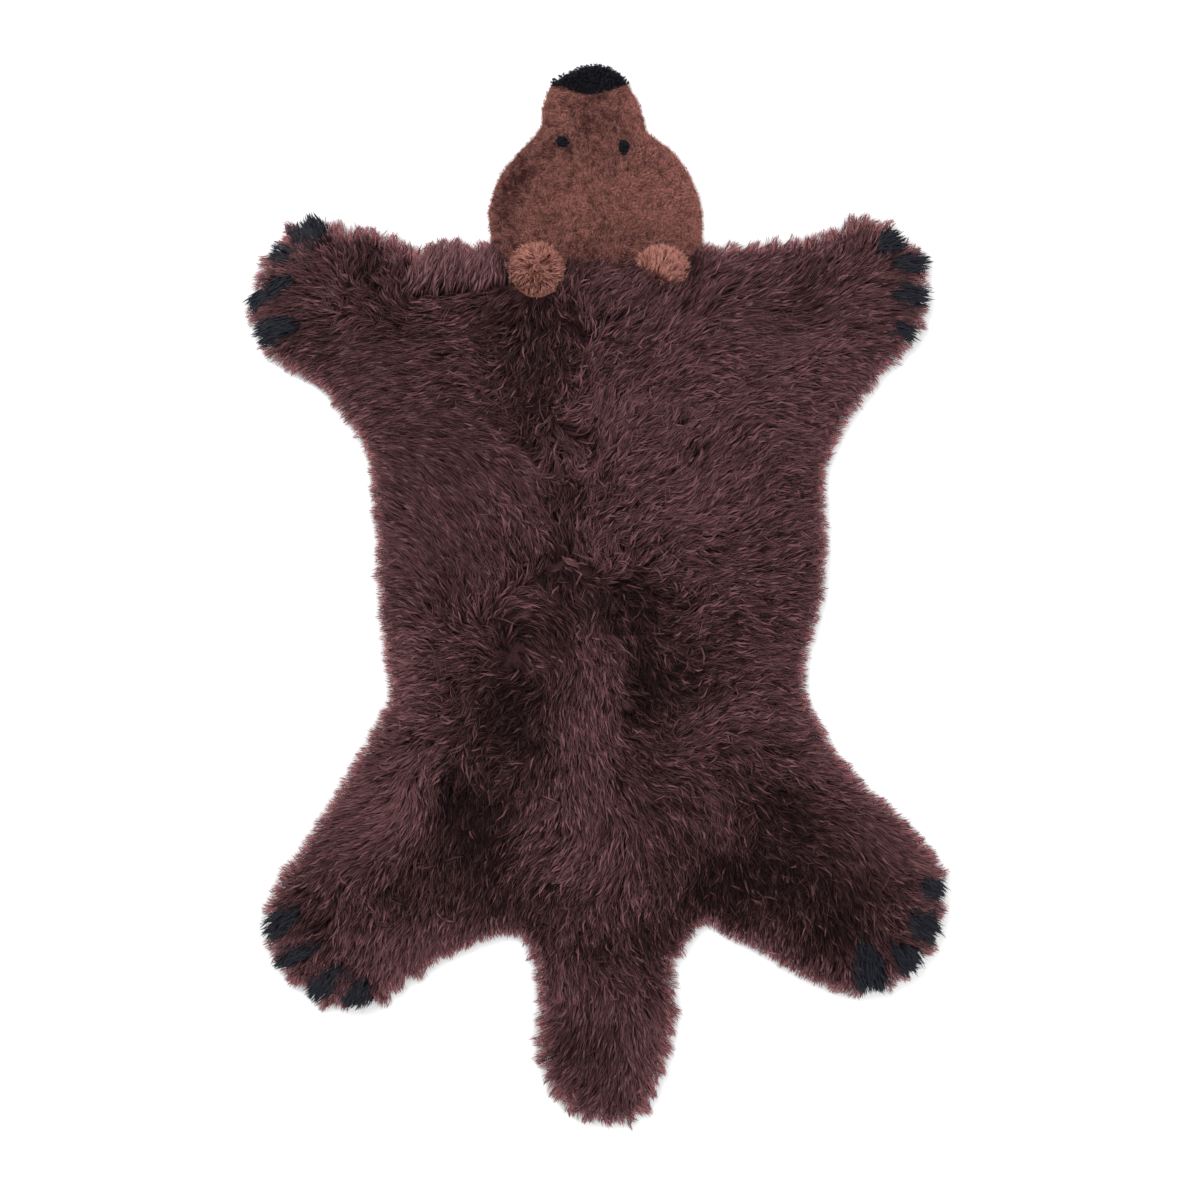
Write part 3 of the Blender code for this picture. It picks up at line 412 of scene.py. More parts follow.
class Plan:
    """The rug seen from above on the grid: each node's area and height, and how its wool is combed."""

    def __init__(self):
        # Areas and heights by node, and where wool covers the floor, with its evened fringe.
        shape = len(GRID_Y), len(GRID_X)
        self.top, self.owner, self.names = np.zeros(shape), np.full(shape, -1), sorted(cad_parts)
        for index, name in enumerate(self.names):
            self.read_node(index, name)
        self.part_wool()
        owned = self.owner >= 0
        self.covered = distance_to(distance_to(owned) > SEAM_REACH) > SEAM_REACH
        for notch in NOTCHES:
            self.covered &= outside(PLAN_X, PLAN_Y, *notch)
        self.tufted = np.minimum(1, FRINGE + sum(blob(PLAN_X, PLAN_Y, *row) for row in TUFTED))
        fringed = (self.tufted < FRINGE + FRINGE_MARGIN) \
            & ~grown(self.area("head", "nose", "claw"), FRINGE_FROM)
        self.covered[fringed] = (soften(self.covered.astype(float), FRINGE_EVEN) > 0.5)[fringed]
        self.rim = depth(self.covered)
        # The height that wool reaches, its comb, its painted shade and light, and its liveliness.
        nap = soften(self.top * owned, NAP_SOFT) / np.maximum(soften(owned.astype(float), NAP_SOFT), 0.02)
        self.nap = soften(np.where(self.covered, nap, LYING_LOCK), NAP_SOFT)
        self.comb_x, self.comb_y, self.tangle = self.combed()
        self.shade = self.shaded()
        self.lively = 1 - np.minimum(CALMEST, sum(blob(PLAN_X, PLAN_Y, *row) for row in CALM))
        self.lively *= np.clip(self.rim / CALM_RIM, 0.25, 1)
        rng = np.random.default_rng(PLAN_SEED)
        self.phase = unevenness(rng, CRIMP_PATCH) * CRIMP_TURNS * math.pi
        self.patches = sum(unevenness(rng, size) * change for size, change in PATCHES)

    def read_node(self, index, name):
        """Find the node's area and its height by rays from above."""
        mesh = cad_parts[name].data
        tree = BVHTree.FromPolygons([v.co for v in mesh.vertices], [p.vertices for p in mesh.polygons])
        low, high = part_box(name)
        columns = np.flatnonzero((GRID_X * MM >= low.x) & (GRID_X * MM <= high.x))
        rows = np.flatnonzero((GRID_Y * MM >= low.y) & (GRID_Y * MM <= high.y))
        down, above = Vector((0, 0, -1)), high.z + 0.01
        for row in rows:
            for column in columns:
                hit = tree.ray_cast(Vector((GRID_X[column] * MM, GRID_Y[row] * MM, above)), down)[0]
                if hit is not None:
                    self.top[row, column] = hit.z / MM
                    self.owner[row, column] = index

    def part_wool(self):
        """Give the wool at the nose and the right ear to the node that it looks to belong to."""
        x, y = PLAN_X + PLAN_ZERO[0], PLAN_Y + PLAN_ZERO[1]
        over = y > np.interp(x, *NOSE_PARTING)
        ear, above = self.area("ear_right"), y > RIGHT_EAR_CLEAR[1]
        hidden = ear & outside(x, y, *RIGHT_EAR_CLEAR)
        lap_x, lap_y, fall = RIGHT_EAR_LAP
        lapped = ear & (y < lap_y - fall * (x - lap_x))
        for mask, taker in ((self.area("head") & over, "nose"), (self.area("nose") & ~over, "head"),
                            (hidden & above, "head"), (lapped | (hidden & ~above), "body")):
            level = np.median(self.top[self.area(taker)])
            self.top[mask] = np.minimum(self.top[mask], level)
            self.owner[mask] = self.names.index(taker)

    def area(self, *names):
        """The area of the nodes whose names start so."""
        return np.isin(self.owner, [i for i, name in enumerate(self.names) if name.startswith(names)])

    def combed(self):
        """Unit vectors along the wool, and its tangle, from the comb table, turning outwards at the rim."""
        across, along, tangle, total = (np.zeros(PLAN_X.shape) for _ in range(4))
        for tuft in COMB:
            dx, dy = away(PLAN_X, PLAN_Y, tuft)
            weight = (dx ** 2 + dy ** 2 + COMB_SOFT ** 2) ** -2.0
            across += weight * math.cos(math.radians(tuft.way))
            along += weight * math.sin(math.radians(tuft.way))
            tangle += weight * tuft.tangle
            total += weight
        across, along = across / total, along / total
        fall_y, fall_x = np.gradient(soften(self.covered.astype(float), OUTWARD_REACH), STEP)
        fall_x, fall_y = (f * -OUTWARD_REACH * math.sqrt(2 * math.pi) for f in (fall_x, fall_y))
        strength = np.hypot(fall_x, fall_y)
        across, along = across + OUTWARD_PULL * fall_x * strength, along + OUTWARD_PULL * fall_y * strength
        length = np.hypot(across, along) + 1e-9
        return across / length, along / length, tangle / total

    def shaded(self):
        """The painted change of tone over the grid: painted shade and light from the table, and light through
        the rim.
        """
        reach = np.where(self.area("head", "nose"), HEAD_RIM_REACH, RIM_LIGHT_REACH)
        shade = RIM_LIGHT * np.exp(-np.maximum(self.rim, 0) / reach)
        for s in PAINTED_LIGHT_AND_SHADE:
            turn = math.radians(s.turn)
            dx, dy = turned(*away(PLAN_X, PLAN_Y, s), math.cos(turn), -math.sin(turn))
            # a negative change paints shade, a positive one paints light
            shade += s.change / 100 * blob(dx, dy, 0, 0, s.across, s.along)
        return shade


# ---------------------------------------------------------------- wool

def lock_roots(area, pitch, rng):
    """Points on a shaken honeycomb a pitch apart, inside the area."""
    rows, columns = np.flatnonzero(area.any(1)), np.flatnonzero(area.any(0))
    y = np.arange(GRID_Y[rows[0]] - pitch, GRID_Y[rows[-1]] + pitch, pitch * ROW_APART)
    x = np.arange(GRID_X[columns[0]] - pitch, GRID_X[columns[-1]] + pitch, pitch)
    x, y = np.meshgrid(x, y)
    x[1::2] += pitch / 2
    x, y = (a.ravel() + rng.uniform(-LOCK_SHAKE, LOCK_SHAKE, a.size) * pitch for a in (x, y))
    column = np.clip(np.rint((x + GRID_HALF[0]) / STEP).astype(int), 0, len(GRID_X) - 1)
    row = np.clip(np.rint((y + GRID_HALF[1]) / STEP).astype(int), 0, len(GRID_Y) - 1)
    keep = area[row, column]
    return x[keep], y[keep]


def lock_lines(x, y, length, comb, turn):
    """Each lock's line in plan, (locks, samples, 2), stepping along the comb."""
    line = np.empty((len(x), LOCK_SAMPLES, 2))
    line[:, 0] = np.stack((x, y), 1)
    cos, sin = np.cos(turn), np.sin(turn)
    step = length / (LOCK_SAMPLES - 1)
    for k in range(1, LOCK_SAMPLES):
        px, py = line[:, k - 1, 0], line[:, k - 1, 1]
        ahead_x, ahead_y = turned(*comb(px, py), cos, sin)
        line[:, k, 0], line[:, k, 1] = px + ahead_x * step, py + ahead_y * step
    return line


def share_within(line, reach, least):
    """The share of each line that lies where the reach is at least that, at its first way out."""
    out = sample(reach, line[:, :, 0], line[:, :, 1]) < least[:, None]
    first = np.where(out.any(1), out.argmax(1), LOCK_SAMPLES)
    return np.clip((first - 0.5) / (LOCK_SAMPLES - 1), 0, 1)


def along_line(line, share):
    """Points at a share (locks, strands, places) of each lock's line."""
    at = np.clip(share * (LOCK_SAMPLES - 1), 0, LOCK_SAMPLES - 1)
    low = np.minimum(at.astype(int), LOCK_SAMPLES - 2)
    part = (at - low)[..., None]
    lock = np.arange(len(line))[:, None, None]
    return line[lock, low] * (1 - part) + line[lock, low + 1] * part


def strands(plan, wool, roots, comb, reach, rng, tone=0.0, lift=0.0, tangle=None, overhang=OVERHANG,
            patchy=1.0, lights=LIGHT_TONE, fringed=False):
    """Middle lines (strands, places, 3) of the wool on these roots, and their tones (strands, places)."""
    # Each lock runs along the comb, turned by its own whim, until it is out of reach.
    x, y = roots
    locks = len(x)
    messy = sample(plan.tangle, x, y) if tangle is None else np.full(locks, tangle)
    length = rng.uniform(wool.shortest, wool.longest, locks)
    turn = np.radians(rng.standard_normal(locks) * (LOCK_TURN + TANGLE_TURN * messy))
    unruly = rng.random(locks) < UNRULY * messy
    turn += np.where(unruly, rng.uniform(-math.pi, math.pi, locks), 0)
    line = lock_lines(x, y, length, comb, turn)
    middle, half = sum(overhang) / 2, (overhang[1] - overhang[0]) / 2
    if fringed:
        half = half * sample(plan.tufted, x, y)
    share = share_within(line, reach, -(middle + half * rng.uniform(-1, 1, locks)))
    keep = share * length > SHORTEST_LOCK if wool.longest > 2 * SHORTEST_LOCK else share > LEAST_SHARE
    line, length, share, messy, x, y = (a[keep] for a in (line, length, share, messy, x, y))
    lively = sample(plan.lively, x, y)
    locks, many, places = len(x), wool.strands, wool.bends + 1

    # Its strands run beside its line. Lively and tangled locks draw together towards the tip.
    t = np.linspace(0, 1, places)[None, None, :]
    reach_of = (share[:, None] * rng.uniform(SHORTEST_STRAND, 1.0, (locks, many)))[..., None]
    path = along_line(line, t * reach_of)
    ahead = along_line(line, np.minimum(t * reach_of + 0.06, 1)) \
        - along_line(line, np.maximum(t * reach_of - 0.06, 0))
    ahead /= np.linalg.norm(ahead, axis=-1, keepdims=True) + 1e-9
    sideways = np.stack((-ahead[..., 1], ahead[..., 0]), -1)

    angle, radius = rng.uniform(0, 2 * math.pi, (locks, many)), np.sqrt(rng.uniform(0, 1, (locks, many)))
    drawn = wool.gather * (1 - 0.35 * lively) * (1 - 0.5 * np.minimum(1, messy * 1.6)) + 3.0 * (1 - share)
    blunt = 1 - rng.uniform(0.15, 0.65, locks) * sample(plan.tufted, x, y)
    drawn *= np.clip(sample(plan.rim, x, y) / POINTED_RIM, blunt, 1)
    drawn = drawn[:, None, None]
    drawn = wool.spread + (drawn - wool.spread) * t ** 0.8
    root_x, root_y = (radius * f(angle) for f in (np.cos, np.sin))
    path = path + np.stack((root_x[..., None] * drawn, root_y[..., None] * drawn), -1)

    # Crimp: a wave along each strand, nearly in step within a lock and between neighbours.
    run = t * reach_of * length[:, None, None]
    phase = (sample(plan.phase, x, y) + rng.normal(0, 0.3, locks))[:, None, None] \
        + rng.normal(0, 0.35, (locks, many))[..., None]
    size = wool.wave * rng.uniform(0.6, 1.3, locks) * (0.5 + 0.7 * lively + 0.5 * messy)
    swing = run * (2 * math.pi / wool.wavelength) + phase
    path = path + sideways * (size[:, None, None] * t ** 0.7 * np.sin(swing))[..., None]
    stray = rng.normal(0, STRAY, (locks, many)) * (0.5 + 0.5 * lively[:, None])
    path = path + sideways * (run * stray[..., None])[..., None]
    crest = np.cos(swing + 0.7)

    # Height: it rises from the root to the nap, with proud strands over it, and tips that drop.
    nap = sample(plan.nap, path[..., 0], path[..., 1])
    rise = wool.rise + (1 - wool.rise) * (1 - (1 - t) ** 2.4)
    light = rng.random((locks, many)) < LIGHT_SHARE
    proud = (rng.normal(0, 1.0, locks) * (0.5 + 0.6 * lively + 1.2 * messy))[:, None, None] \
        + light[..., None] * LIGHT_RISE
    over = (proud + rng.normal(0, wool.loose, (locks, many))[..., None]
            + 0.5 * size[:, None, None] * crest) * t
    sunk = 1 + SUNK * np.minimum(sample(plan.shade, x, y), 0)[:, None, None]
    height = nap * rise * sunk + over + lift * t - TIP_DROP * t ** 4
    height = np.maximum(height, LOWEST + LOWEST_TIP_RISE * t)
    points = np.concatenate((path, height[..., None]), -1).reshape(locks * many, places, 3)

    # Tone: the patch's, the lock's and the strand's own, the crests' painted highlight and the painted shade
    # and light.
    calmed = np.clip(1 + SHADE_CALM * sample(plan.shade, x, y), 0.35, 1)
    contrast = (0.6 + 0.6 * lively * calmed)[:, None]
    tones = (MIDDLE_TONE + tone + patchy * sample(plan.patches, x, y)
             + rng.normal(0, LOCK_TONE, locks) * (0.5 + lively))[:, None] \
        + (rng.normal(0, STRAND_TONE, (locks, many))
           + np.where(light, lights, 0) * calmed[:, None]) * contrast
    tones = tones[..., None] + CREST_HIGHLIGHT * contrast[..., None] * crest \
        + SHADE_DEPTH * sample(plan.shade, path[..., 0], path[..., 1])
    return points, tones.reshape(locks * many, places)


def ribbons(name, points, tones, width, look, nodes, rng):
    """Joined mesh of flat, pointed strands. Its map's u is the wool's tone and v runs from root to tip."""
    count, places = points.shape[:2]
    ahead = np.gradient(points, axis=1)
    ahead /= np.linalg.norm(ahead, axis=-1, keepdims=True) + 1e-9
    flat = np.cross(ahead, (0.0, 0.0, 1.0))
    flat /= np.linalg.norm(flat, axis=-1, keepdims=True) + 1e-9
    up = np.cross(flat, ahead)
    width = np.broadcast_to(width, count)[:, None]
    roll = (rng.uniform(-0.95, 0.95, (count, 1))
            + np.linspace(-0.3, 0.3, places) * rng.choice((-1, 1), (count, 1))) / np.maximum(width, 1)
    side = flat * np.cos(roll)[..., None] + up * np.sin(roll)[..., None]
    taper = np.interp(np.linspace(0, 1, places), (0, 0.3, 0.7, 1),
                      (0.4 if places > 2 else 0.8, 1.0, 0.8, 0.0))
    wide = (width * rng.uniform(0.75, 1.25, (count, 1)) * taper / 2)[..., None]

    each = 2 * (places - 1) + 1
    verts = np.empty((count, each, 3))
    verts[:, 0:-1:2], verts[:, 1:-1:2] = (points + side * wide)[:, :-1], (points - side * wide)[:, :-1]
    verts[:, -1] = points[:, -1]
    corners, starts = [], []
    for k in range(places - 2):
        starts.append(len(corners))
        corners += [2 * k, 2 * k + 1, 2 * k + 3, 2 * k + 2]
    starts.append(len(corners))
    corners += [each - 3, each - 2, each - 1]
    corners, starts = np.array(corners), np.array(starts)
    place = corners // 2
    beside = np.where(corners == each - 1, 0, corners % 2 * 2 - 1)
    first = np.arange(count)[:, None]

    mesh = bpy.data.meshes.new(name)
    mesh.vertices.add(count * each)
    mesh.vertices.foreach_set("co", (verts * MM).astype(np.float32).ravel())
    mesh.loops.add(count * len(corners))
    mesh.loops.foreach_set("vertex_index", (first * each + corners).astype(np.int32).ravel())
    mesh.polygons.add(count * len(starts))
    mesh.polygons.foreach_set("loop_start", (first * len(corners) + starts).astype(np.int32).ravel())
    mesh.update(calc_edges=True)
    mesh.shade_smooth()
    # u is shifted across each strand: a painted highlight on one side and painted shade on the other
    u = np.clip(np.clip(tones, 0, 1)[:, place] * 0.96 + 0.02 + beside * SIDE_HIGHLIGHT * width, 0, 1)
    v = 0.02 + 0.96 * place / (places - 1)
    uv = np.stack((u, np.broadcast_to(v, u.shape)), -1)
    mesh.uv_layers.new(name="OFBake").uv.foreach_set("vector", uv.astype(np.float32).ravel())
    return dress(name, mesh, look, nodes)


def coat(name, plan, layers, roots, comb, reach, look, nodes, rng):
    """One piece of wool in layers, each a kind of wool with its settings for strands, on the same roots."""
    parts = [strands(plan, wool, roots, comb, reach, rng, **settings) for wool, settings in layers]
    widths = [np.full(len(points), wool.width) for (points, _), (wool, _) in zip(parts, layers)]
    points, tones, widths = (np.concatenate(arrays) for arrays in (*zip(*parts), widths))
    return ribbons(name, points, tones, widths, look, nodes, rng)


def dress(name, mesh, look, nodes=()):
    """The mesh as a piece of the rug with this look's material, standing for these nodes."""
    material, slot = look
    piece = bpy.data.objects.new(name, mesh)
    bpy.context.scene.collection.objects.link(piece)
    mesh.materials.append(material)
    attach(piece, BODY)
    if nodes:
        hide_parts(*nodes)
    return piece


def slab(name, area, pitch, height, look, bottom=FELT_BOTTOM):
    """A closed layer on a lattice over the area, its edge smoothed, from bottom to height(x, y)."""
    stride = int(round(pitch / STEP))
    rows, columns = np.arange(0, len(GRID_Y), stride), np.arange(0, len(GRID_X), stride)
    inside = area[np.ix_(rows, columns)]
    build = bmesh.new()
    made = {}
    for i, j in zip(*np.nonzero(inside[:-1, :-1] & inside[1:, :-1] & inside[:-1, 1:] & inside[1:, 1:])):
        ring = []
        for key in ((i, j), (i, j + 1), (i + 1, j + 1), (i + 1, j)):
            if key not in made:
                made[key] = build.verts.new((GRID_X[columns[key[1]]], GRID_Y[rows[key[0]]], 0))
            ring.append(made[key])
        build.faces.new(ring)
    for _ in range(4):
        moves = {}
        for vert in build.verts:
            beside = [e.other_vert(vert).co for e in vert.link_edges if e.is_boundary]
            if len(beside) == 2:
                moves[vert] = vert.co * 0.4 + (beside[0] + beside[1]) * 0.3
        for vert, place in moves.items():
            vert.co = place
    extruded = bmesh.ops.extrude_face_region(build, geom=list(build.faces))["geom"]
    upper = {g for g in extruded if isinstance(g, bmesh.types.BMVert)}
    places = np.array([v.co[:2] for v in build.verts])
    tops = height(places[:, 0], places[:, 1])
    for vert, z in zip(build.verts, tops):
        vert.co.z = z if vert in upper else bottom
    bmesh.ops.recalc_face_normals(build, faces=build.faces)
    bmesh.ops.dissolve_limit(build, angle_limit=math.radians(0.5), use_dissolve_boundaries=False,
                             verts=build.verts, edges=build.edges)
    bmesh.ops.scale(build, vec=(MM, MM, MM), verts=build.verts)
    mesh = bpy.data.meshes.new(name)
    build.to_mesh(mesh)
    build.free()
    mesh.shade_smooth()
    return dress(name, mesh, look)


# ---------------------------------------------------------------- materials

def linear(code):
    """A colour for a shader from sRGB hex."""
    parts = [int(code[i:i + 2], 16) / 255 for i in (0, 2, 4)]
    return tuple(c / 12.92 if c <= 0.04045 else ((c + 0.055) / 1.055) ** 2.4 for c in parts) + (1.0,)


def add(material, kind, settings=None, links=None):
    """A shader node of that kind in the material, with its settings, its sockets' values and links into them.
    A colour ramp's stops are (place, colour) each."""
    node = material.node_tree.nodes.new("ShaderNode" + kind)
    for key, value in (settings or {}).items():
        if key == "stops":
            elements = node.color_ramp.elements
            while len(elements) < len(value):
                elements.new(0.5)
            for element, (place, colour) in zip(elements, value):
                element.position, element.color = place, linear(colour)
        elif isinstance(key, str) and hasattr(node, key):
            setattr(node, key, value)
        else:
            node.inputs[key].default_value = value
    for key, source in (links or {}).items():
        material.node_tree.links.new(source, node.inputs[key])
    return node


def new_material(name):
    material = bpy.data.materials.new(name)
    material.use_nodes = True
    material.node_tree.nodes.clear()
    return material


def finish_material(material, settings, links):
    shader = add(material, "BsdfPrincipled", settings, links)
    add(material, "OutputMaterial", links={"Surface": shader.outputs["BSDF"]})
    return material


def wool_material(name, root_to_tip, tones, roughness, sheen, sheen_tint, specular):
    """Wool, dyed and combed. root_to_tip colours a strand along its length, and tones go from deep to light
    locks. Roots are darker, partly dye and partly painted shade; tips fade lighter; one side has a painted
    highlight."""
    material = new_material(name)
    place = add(material, "UVMap", {"uv_map": "OFBake"})
    split = add(material, "SeparateXYZ", links={"Vector": place.outputs["UV"]})
    along = add(material, "ValToRGB", {"stops": root_to_tip}, {"Fac": split.outputs["Y"]})
    tone = add(material, "ValToRGB", {"stops": tones}, {"Fac": split.outputs["X"]})
    colour = add(material, "Mix", {"data_type": "RGBA", "blend_type": "MULTIPLY", "Factor": 1.0},
                 {6: along.outputs["Color"], 7: tone.outputs["Color"]})
    # Crimp and dye streaks: a fine grain over the tone and a few bands along the strand.
    stretch = add(material, "VectorMath", {"operation": "MULTIPLY", 1: (90.0, 7.0, 1.0)},
                  {0: place.outputs["UV"]})
    streak = add(material, "TexNoise", {"Scale": 1.0, "Detail": 2.0}, {"Vector": stretch.outputs["Vector"]})
    spread = add(material, "MapRange", {"To Min": 0.6, "To Max": 1.4}, {"Value": streak.outputs["Fac"]})
    shaded = add(material, "VectorMath", {"operation": "SCALE"},
                 {0: colour.outputs[2], "Scale": spread.outputs["Result"]})
    # Dye that took unevenly: some strands a little redder, some a little greyer.
    apart = add(material, "VectorMath", {"operation": "MULTIPLY", 1: (60.0, 2.0, 1.0)},
                {0: place.outputs["UV"]})
    dye = add(material, "TexNoise", {"Scale": 1.0, "Detail": 1.0}, {"Vector": apart.outputs["Vector"]})
    tint = add(material, "ValToRGB", {"stops": ((0.3, "FFF2F0"), (0.7, "F0FBF6"))},
               {"Fac": dye.outputs["Fac"]})
    dyed = add(material, "VectorMath", {"operation": "MULTIPLY"},
               {0: shaded.outputs["Vector"], 1: tint.outputs["Color"]})
    rough = add(material, "MapRange", {"To Min": roughness - 0.08, "To Max": roughness + 0.08},
                {"Value": streak.outputs["Fac"]})
    return finish_material(material, {
        "IOR": 1.55, "Specular IOR Level": specular, "Sheen Weight": sheen, "Sheen Roughness": 0.45,
        "Sheen Tint": linear(sheen_tint),
    }, {"Base Color": dyed.outputs["Vector"], "Roughness": rough.outputs["Result"]})


def felted_material(name, deep, light, grain_mm, roughness, bump_mm):
    """The matted wool close to the skin, or shorn pile: a grain of tufts, with bump as deep as they are."""
    material = new_material(name)
    place = add(material, "TexCoord").outputs["Object"]
    grain = add(material, "TexNoise", {"Scale": 1000 / grain_mm, "Detail": 3.0, "Roughness": 0.6},
                {"Vector": place})
    patch = add(material, "TexNoise", {"Scale": 1000 / (grain_mm * 14), "Detail": 2.0}, {"Vector": place})
    both = add(material, "Math", {"operation": "MULTIPLY_ADD", 1: 0.6},
               {0: grain.outputs["Fac"], 2: patch.outputs["Fac"]})
    centred = add(material, "MapRange", {"From Min": 0.45, "From Max": 1.15}, {"Value": both.outputs[0]})
    colour = add(material, "ValToRGB", {"stops": ((0.0, deep), (1.0, light))},
                 {"Fac": centred.outputs["Result"]})
    bump = add(material, "Bump", {"Strength": 0.8, "Distance": bump_mm * MM},
               {"Height": grain.outputs["Fac"]})
    rough = add(material, "MapRange", {"To Min": roughness - 0.1, "To Max": roughness + 0.05},
                {"Value": grain.outputs["Fac"]})
    return finish_material(material, {"IOR": 1.5, "Specular IOR Level": 0.08, "Sheen Weight": 0.03}, {
        "Base Color": colour.outputs["Color"], "Roughness": rough.outputs["Result"],
        "Normal": bump.outputs["Normal"]})


def make_looks():
    """Each look's material and slot: sheepskin dyed in the fleece."""
    materials = {
        # Long locks: a brown with a little purple, deep at the root, redder and paler at the ends.
        "long": wool_material(
            "dyed_long_wool", ((0.0, "2C1A1C"), (0.35, "563D40"), (0.75, "6E5155"), (1.0, "7E6063")),
            ((0.0, "342023"), (0.44, "9A8A8B"), (1.0, "F8E8E8")), 0.6, 0.02, "B07C7E", 0.05),
        # The same wool combed straight: lighter, with a little more shine along its locks.
        "combed": wool_material(
            "combed_long_wool", ((0.0, "2B1A1C"), (0.35, "5B4144"), (0.75, "785A5E"), (1.0, "8A6B6E")),
            ((0.0, "38262A"), (0.5, "A29092"), (1.0, "F8E8E8")), 0.58, 0.02, "B0807E", 0.06),
        # Fleece shorn short: a warm chestnut, soft and even, with next to no shine.
        "shorn": wool_material(
            "shorn_chestnut_wool", ((0.0, "87544D"), (0.5, "AA746C"), (1.0, "C29289")),
            ((0.0, "4E4246"), (0.5, "BCBCC0"), (1.0, "FFFBFB")), 0.7, 0.04, "C79A90", 0.06),
        # Half-long wool: pale tan tips over a redder root.
        "ear": wool_material(
            "half_long_tan_wool", ((0.0, "70423C"), (0.5, "A8736A"), (1.0, "D4A599")),
            ((0.0, "6A5654"), (0.5, "B4A4A4"), (1.0, "FFF4F0")), 0.65, 0.05, "D8B49E", 0.08),
        # Dyed black: not quite black, and a cool grey where it catches light.
        "black": wool_material(
            "black_dyed_wool", ((0.0, "0B0B10"), (0.5, "1C1D24"), (1.0, "31333D")),
            ((0.0, "7A7A80"), (0.5, "BCBCC2"), (1.0, "FFFFFF")), 0.6, 0.02, "60606C", 0.1),
        # Wool matted close to the skin, in each dye: dull, and dark as painted shade,
        # so that gaps between strands look deep.
        "matted": felted_material("matted_brown_underwool_painted_shade", "241417", "452B2F", 2.5, 0.95, 1.2),
        "pile": felted_material("shorn_chestnut_pile", "4E2C28", "82534B", 1.6, 0.9, 0.8),
        "matted_tan": felted_material("matted_tan_wool", "6A3F33", "A06C5A", 1.8, 0.9, 0.8),
        # Fine ends at the rim: light comes through them, so they look paler and redder.
        "rim": wool_material(
            "fine_wool_at_the_rim", ((0.0, "52343A"), (0.5, "885C62"), (1.0, "B58086")),
            ((0.0, "5A4A4C"), (0.5, "BCB2B3"), (1.0, "FFF2F0")), 0.6, 0.05, "B88486", 0.08),
        "matted_black": felted_material("matted_black_wool", "0C0C10", "1E1E24", 1.6, 0.92, 0.8),
        # The hide, tanned and brushed on its flesh side: pale and dull, with a fine nap.
        "suede": felted_material("tanned_sheepskin_suede", "B79C7C", "D6C2A4", 1.2, 0.9, 0.25),
    }
    slots = {"combed": "combed_wool", "shorn": "shorn_wool", "pile": "shorn_wool", "ear": "ear_wool",
             "matted_tan": "ear_wool", "black": "black_wool", "matted_black": "black_wool"}
    return {key: (material, slots.get(key, "long_wool")) for key, material in materials.items()}


# ---------------------------------------------------------------- the rug

def comb_field(across, along):
    """A comb that reads its direction from two arrays over the grid."""
    return lambda px, py: (sample(across, px, py), sample(along, px, py))


def uneven_comb(plan, rng):
    """The plan's comb with the wool's own unevenness on it."""
    turn = sum(unevenness(rng, size) * math.radians(degrees) for size, degrees in COMB_BENDS) \
        * (1 + 1.2 * plan.tangle) * (0.4 + 0.6 * plan.lively)
    return comb_field(*turned(plan.comb_x, plan.comb_y, np.cos(turn), np.sin(turn)))


def straight_comb(way):
    x, y = math.cos(math.radians(way)), math.sin(math.radians(way))
    return lambda px, py: (np.full(px.shape, x), np.full(px.shape, y))


def whorl(middle, swirl=0):
    """Wool that lies away from a middle, turned by swirl degrees."""
    cos, sin = math.cos(math.radians(swirl)), math.sin(math.radians(swirl))

    def comb(px, py):
        dx, dy = away(px, py, middle)
        size = np.hypot(dx, dy) + 1e-6
        x, y = turned(dx, dy, cos, sin)
        return x / size, y / size
    return comb


COATS = (  # name, and the lock roots that it takes, by their place
    ("coat_tail", lambda x, y: y < -385),
    ("coat_hind_left", lambda x, y: (y < -110) & (x < -70)),
    ("coat_hind_right", lambda x, y: (y < -110) & (x > 85)),
    ("coat_back_lower", lambda x, y: y < -110),
    ("coat_arm_left", lambda x, y: (y > 170) & (x < -130)),
    ("coat_arm_right", lambda x, y: (y > 170) & (x > 130)),
    ("coat_shoulders", lambda x, y: y > 170),
    ("coat_back_left", lambda x, y: x < 0),
    ("coat_back_right", lambda x, y: x >= 0),
)


def add_body_wool(plan, looks, rng):
    """The long wool in two layers, up to and a little over the edges of what is let into the body."""
    blocked = plan.area("ear_left", "shoulder_strip") | (depth(plan.area("claw")) > CLAW_LAP)
    blocked |= depth(plan.area("ear_right")) > EAR_LAP
    blocked |= depth(plan.area("head", "nose", "eye")) > HEAD_LAP
    reach = depth(plan.covered & ~blocked)
    comb = uneven_comb(plan, rng)
    x, y = lock_roots(plan.area("body") & (plan.rim > ROOTS_INSET), LONG.pitch, rng)
    layers = ((UNDER, dict(tone=UNDER_TONE, overhang=UNDER_LAP, fringed=True)),
              (LONG, dict(overhang=LAP, fringed=True)))
    left = np.ones(len(x), bool)
    for name, within in COATS:
        mine = left & within(x, y)
        left &= ~mine
        coat(name, plan, layers, (x[mine], y[mine]), comb, reach, looks["long"], ["body"], rng)


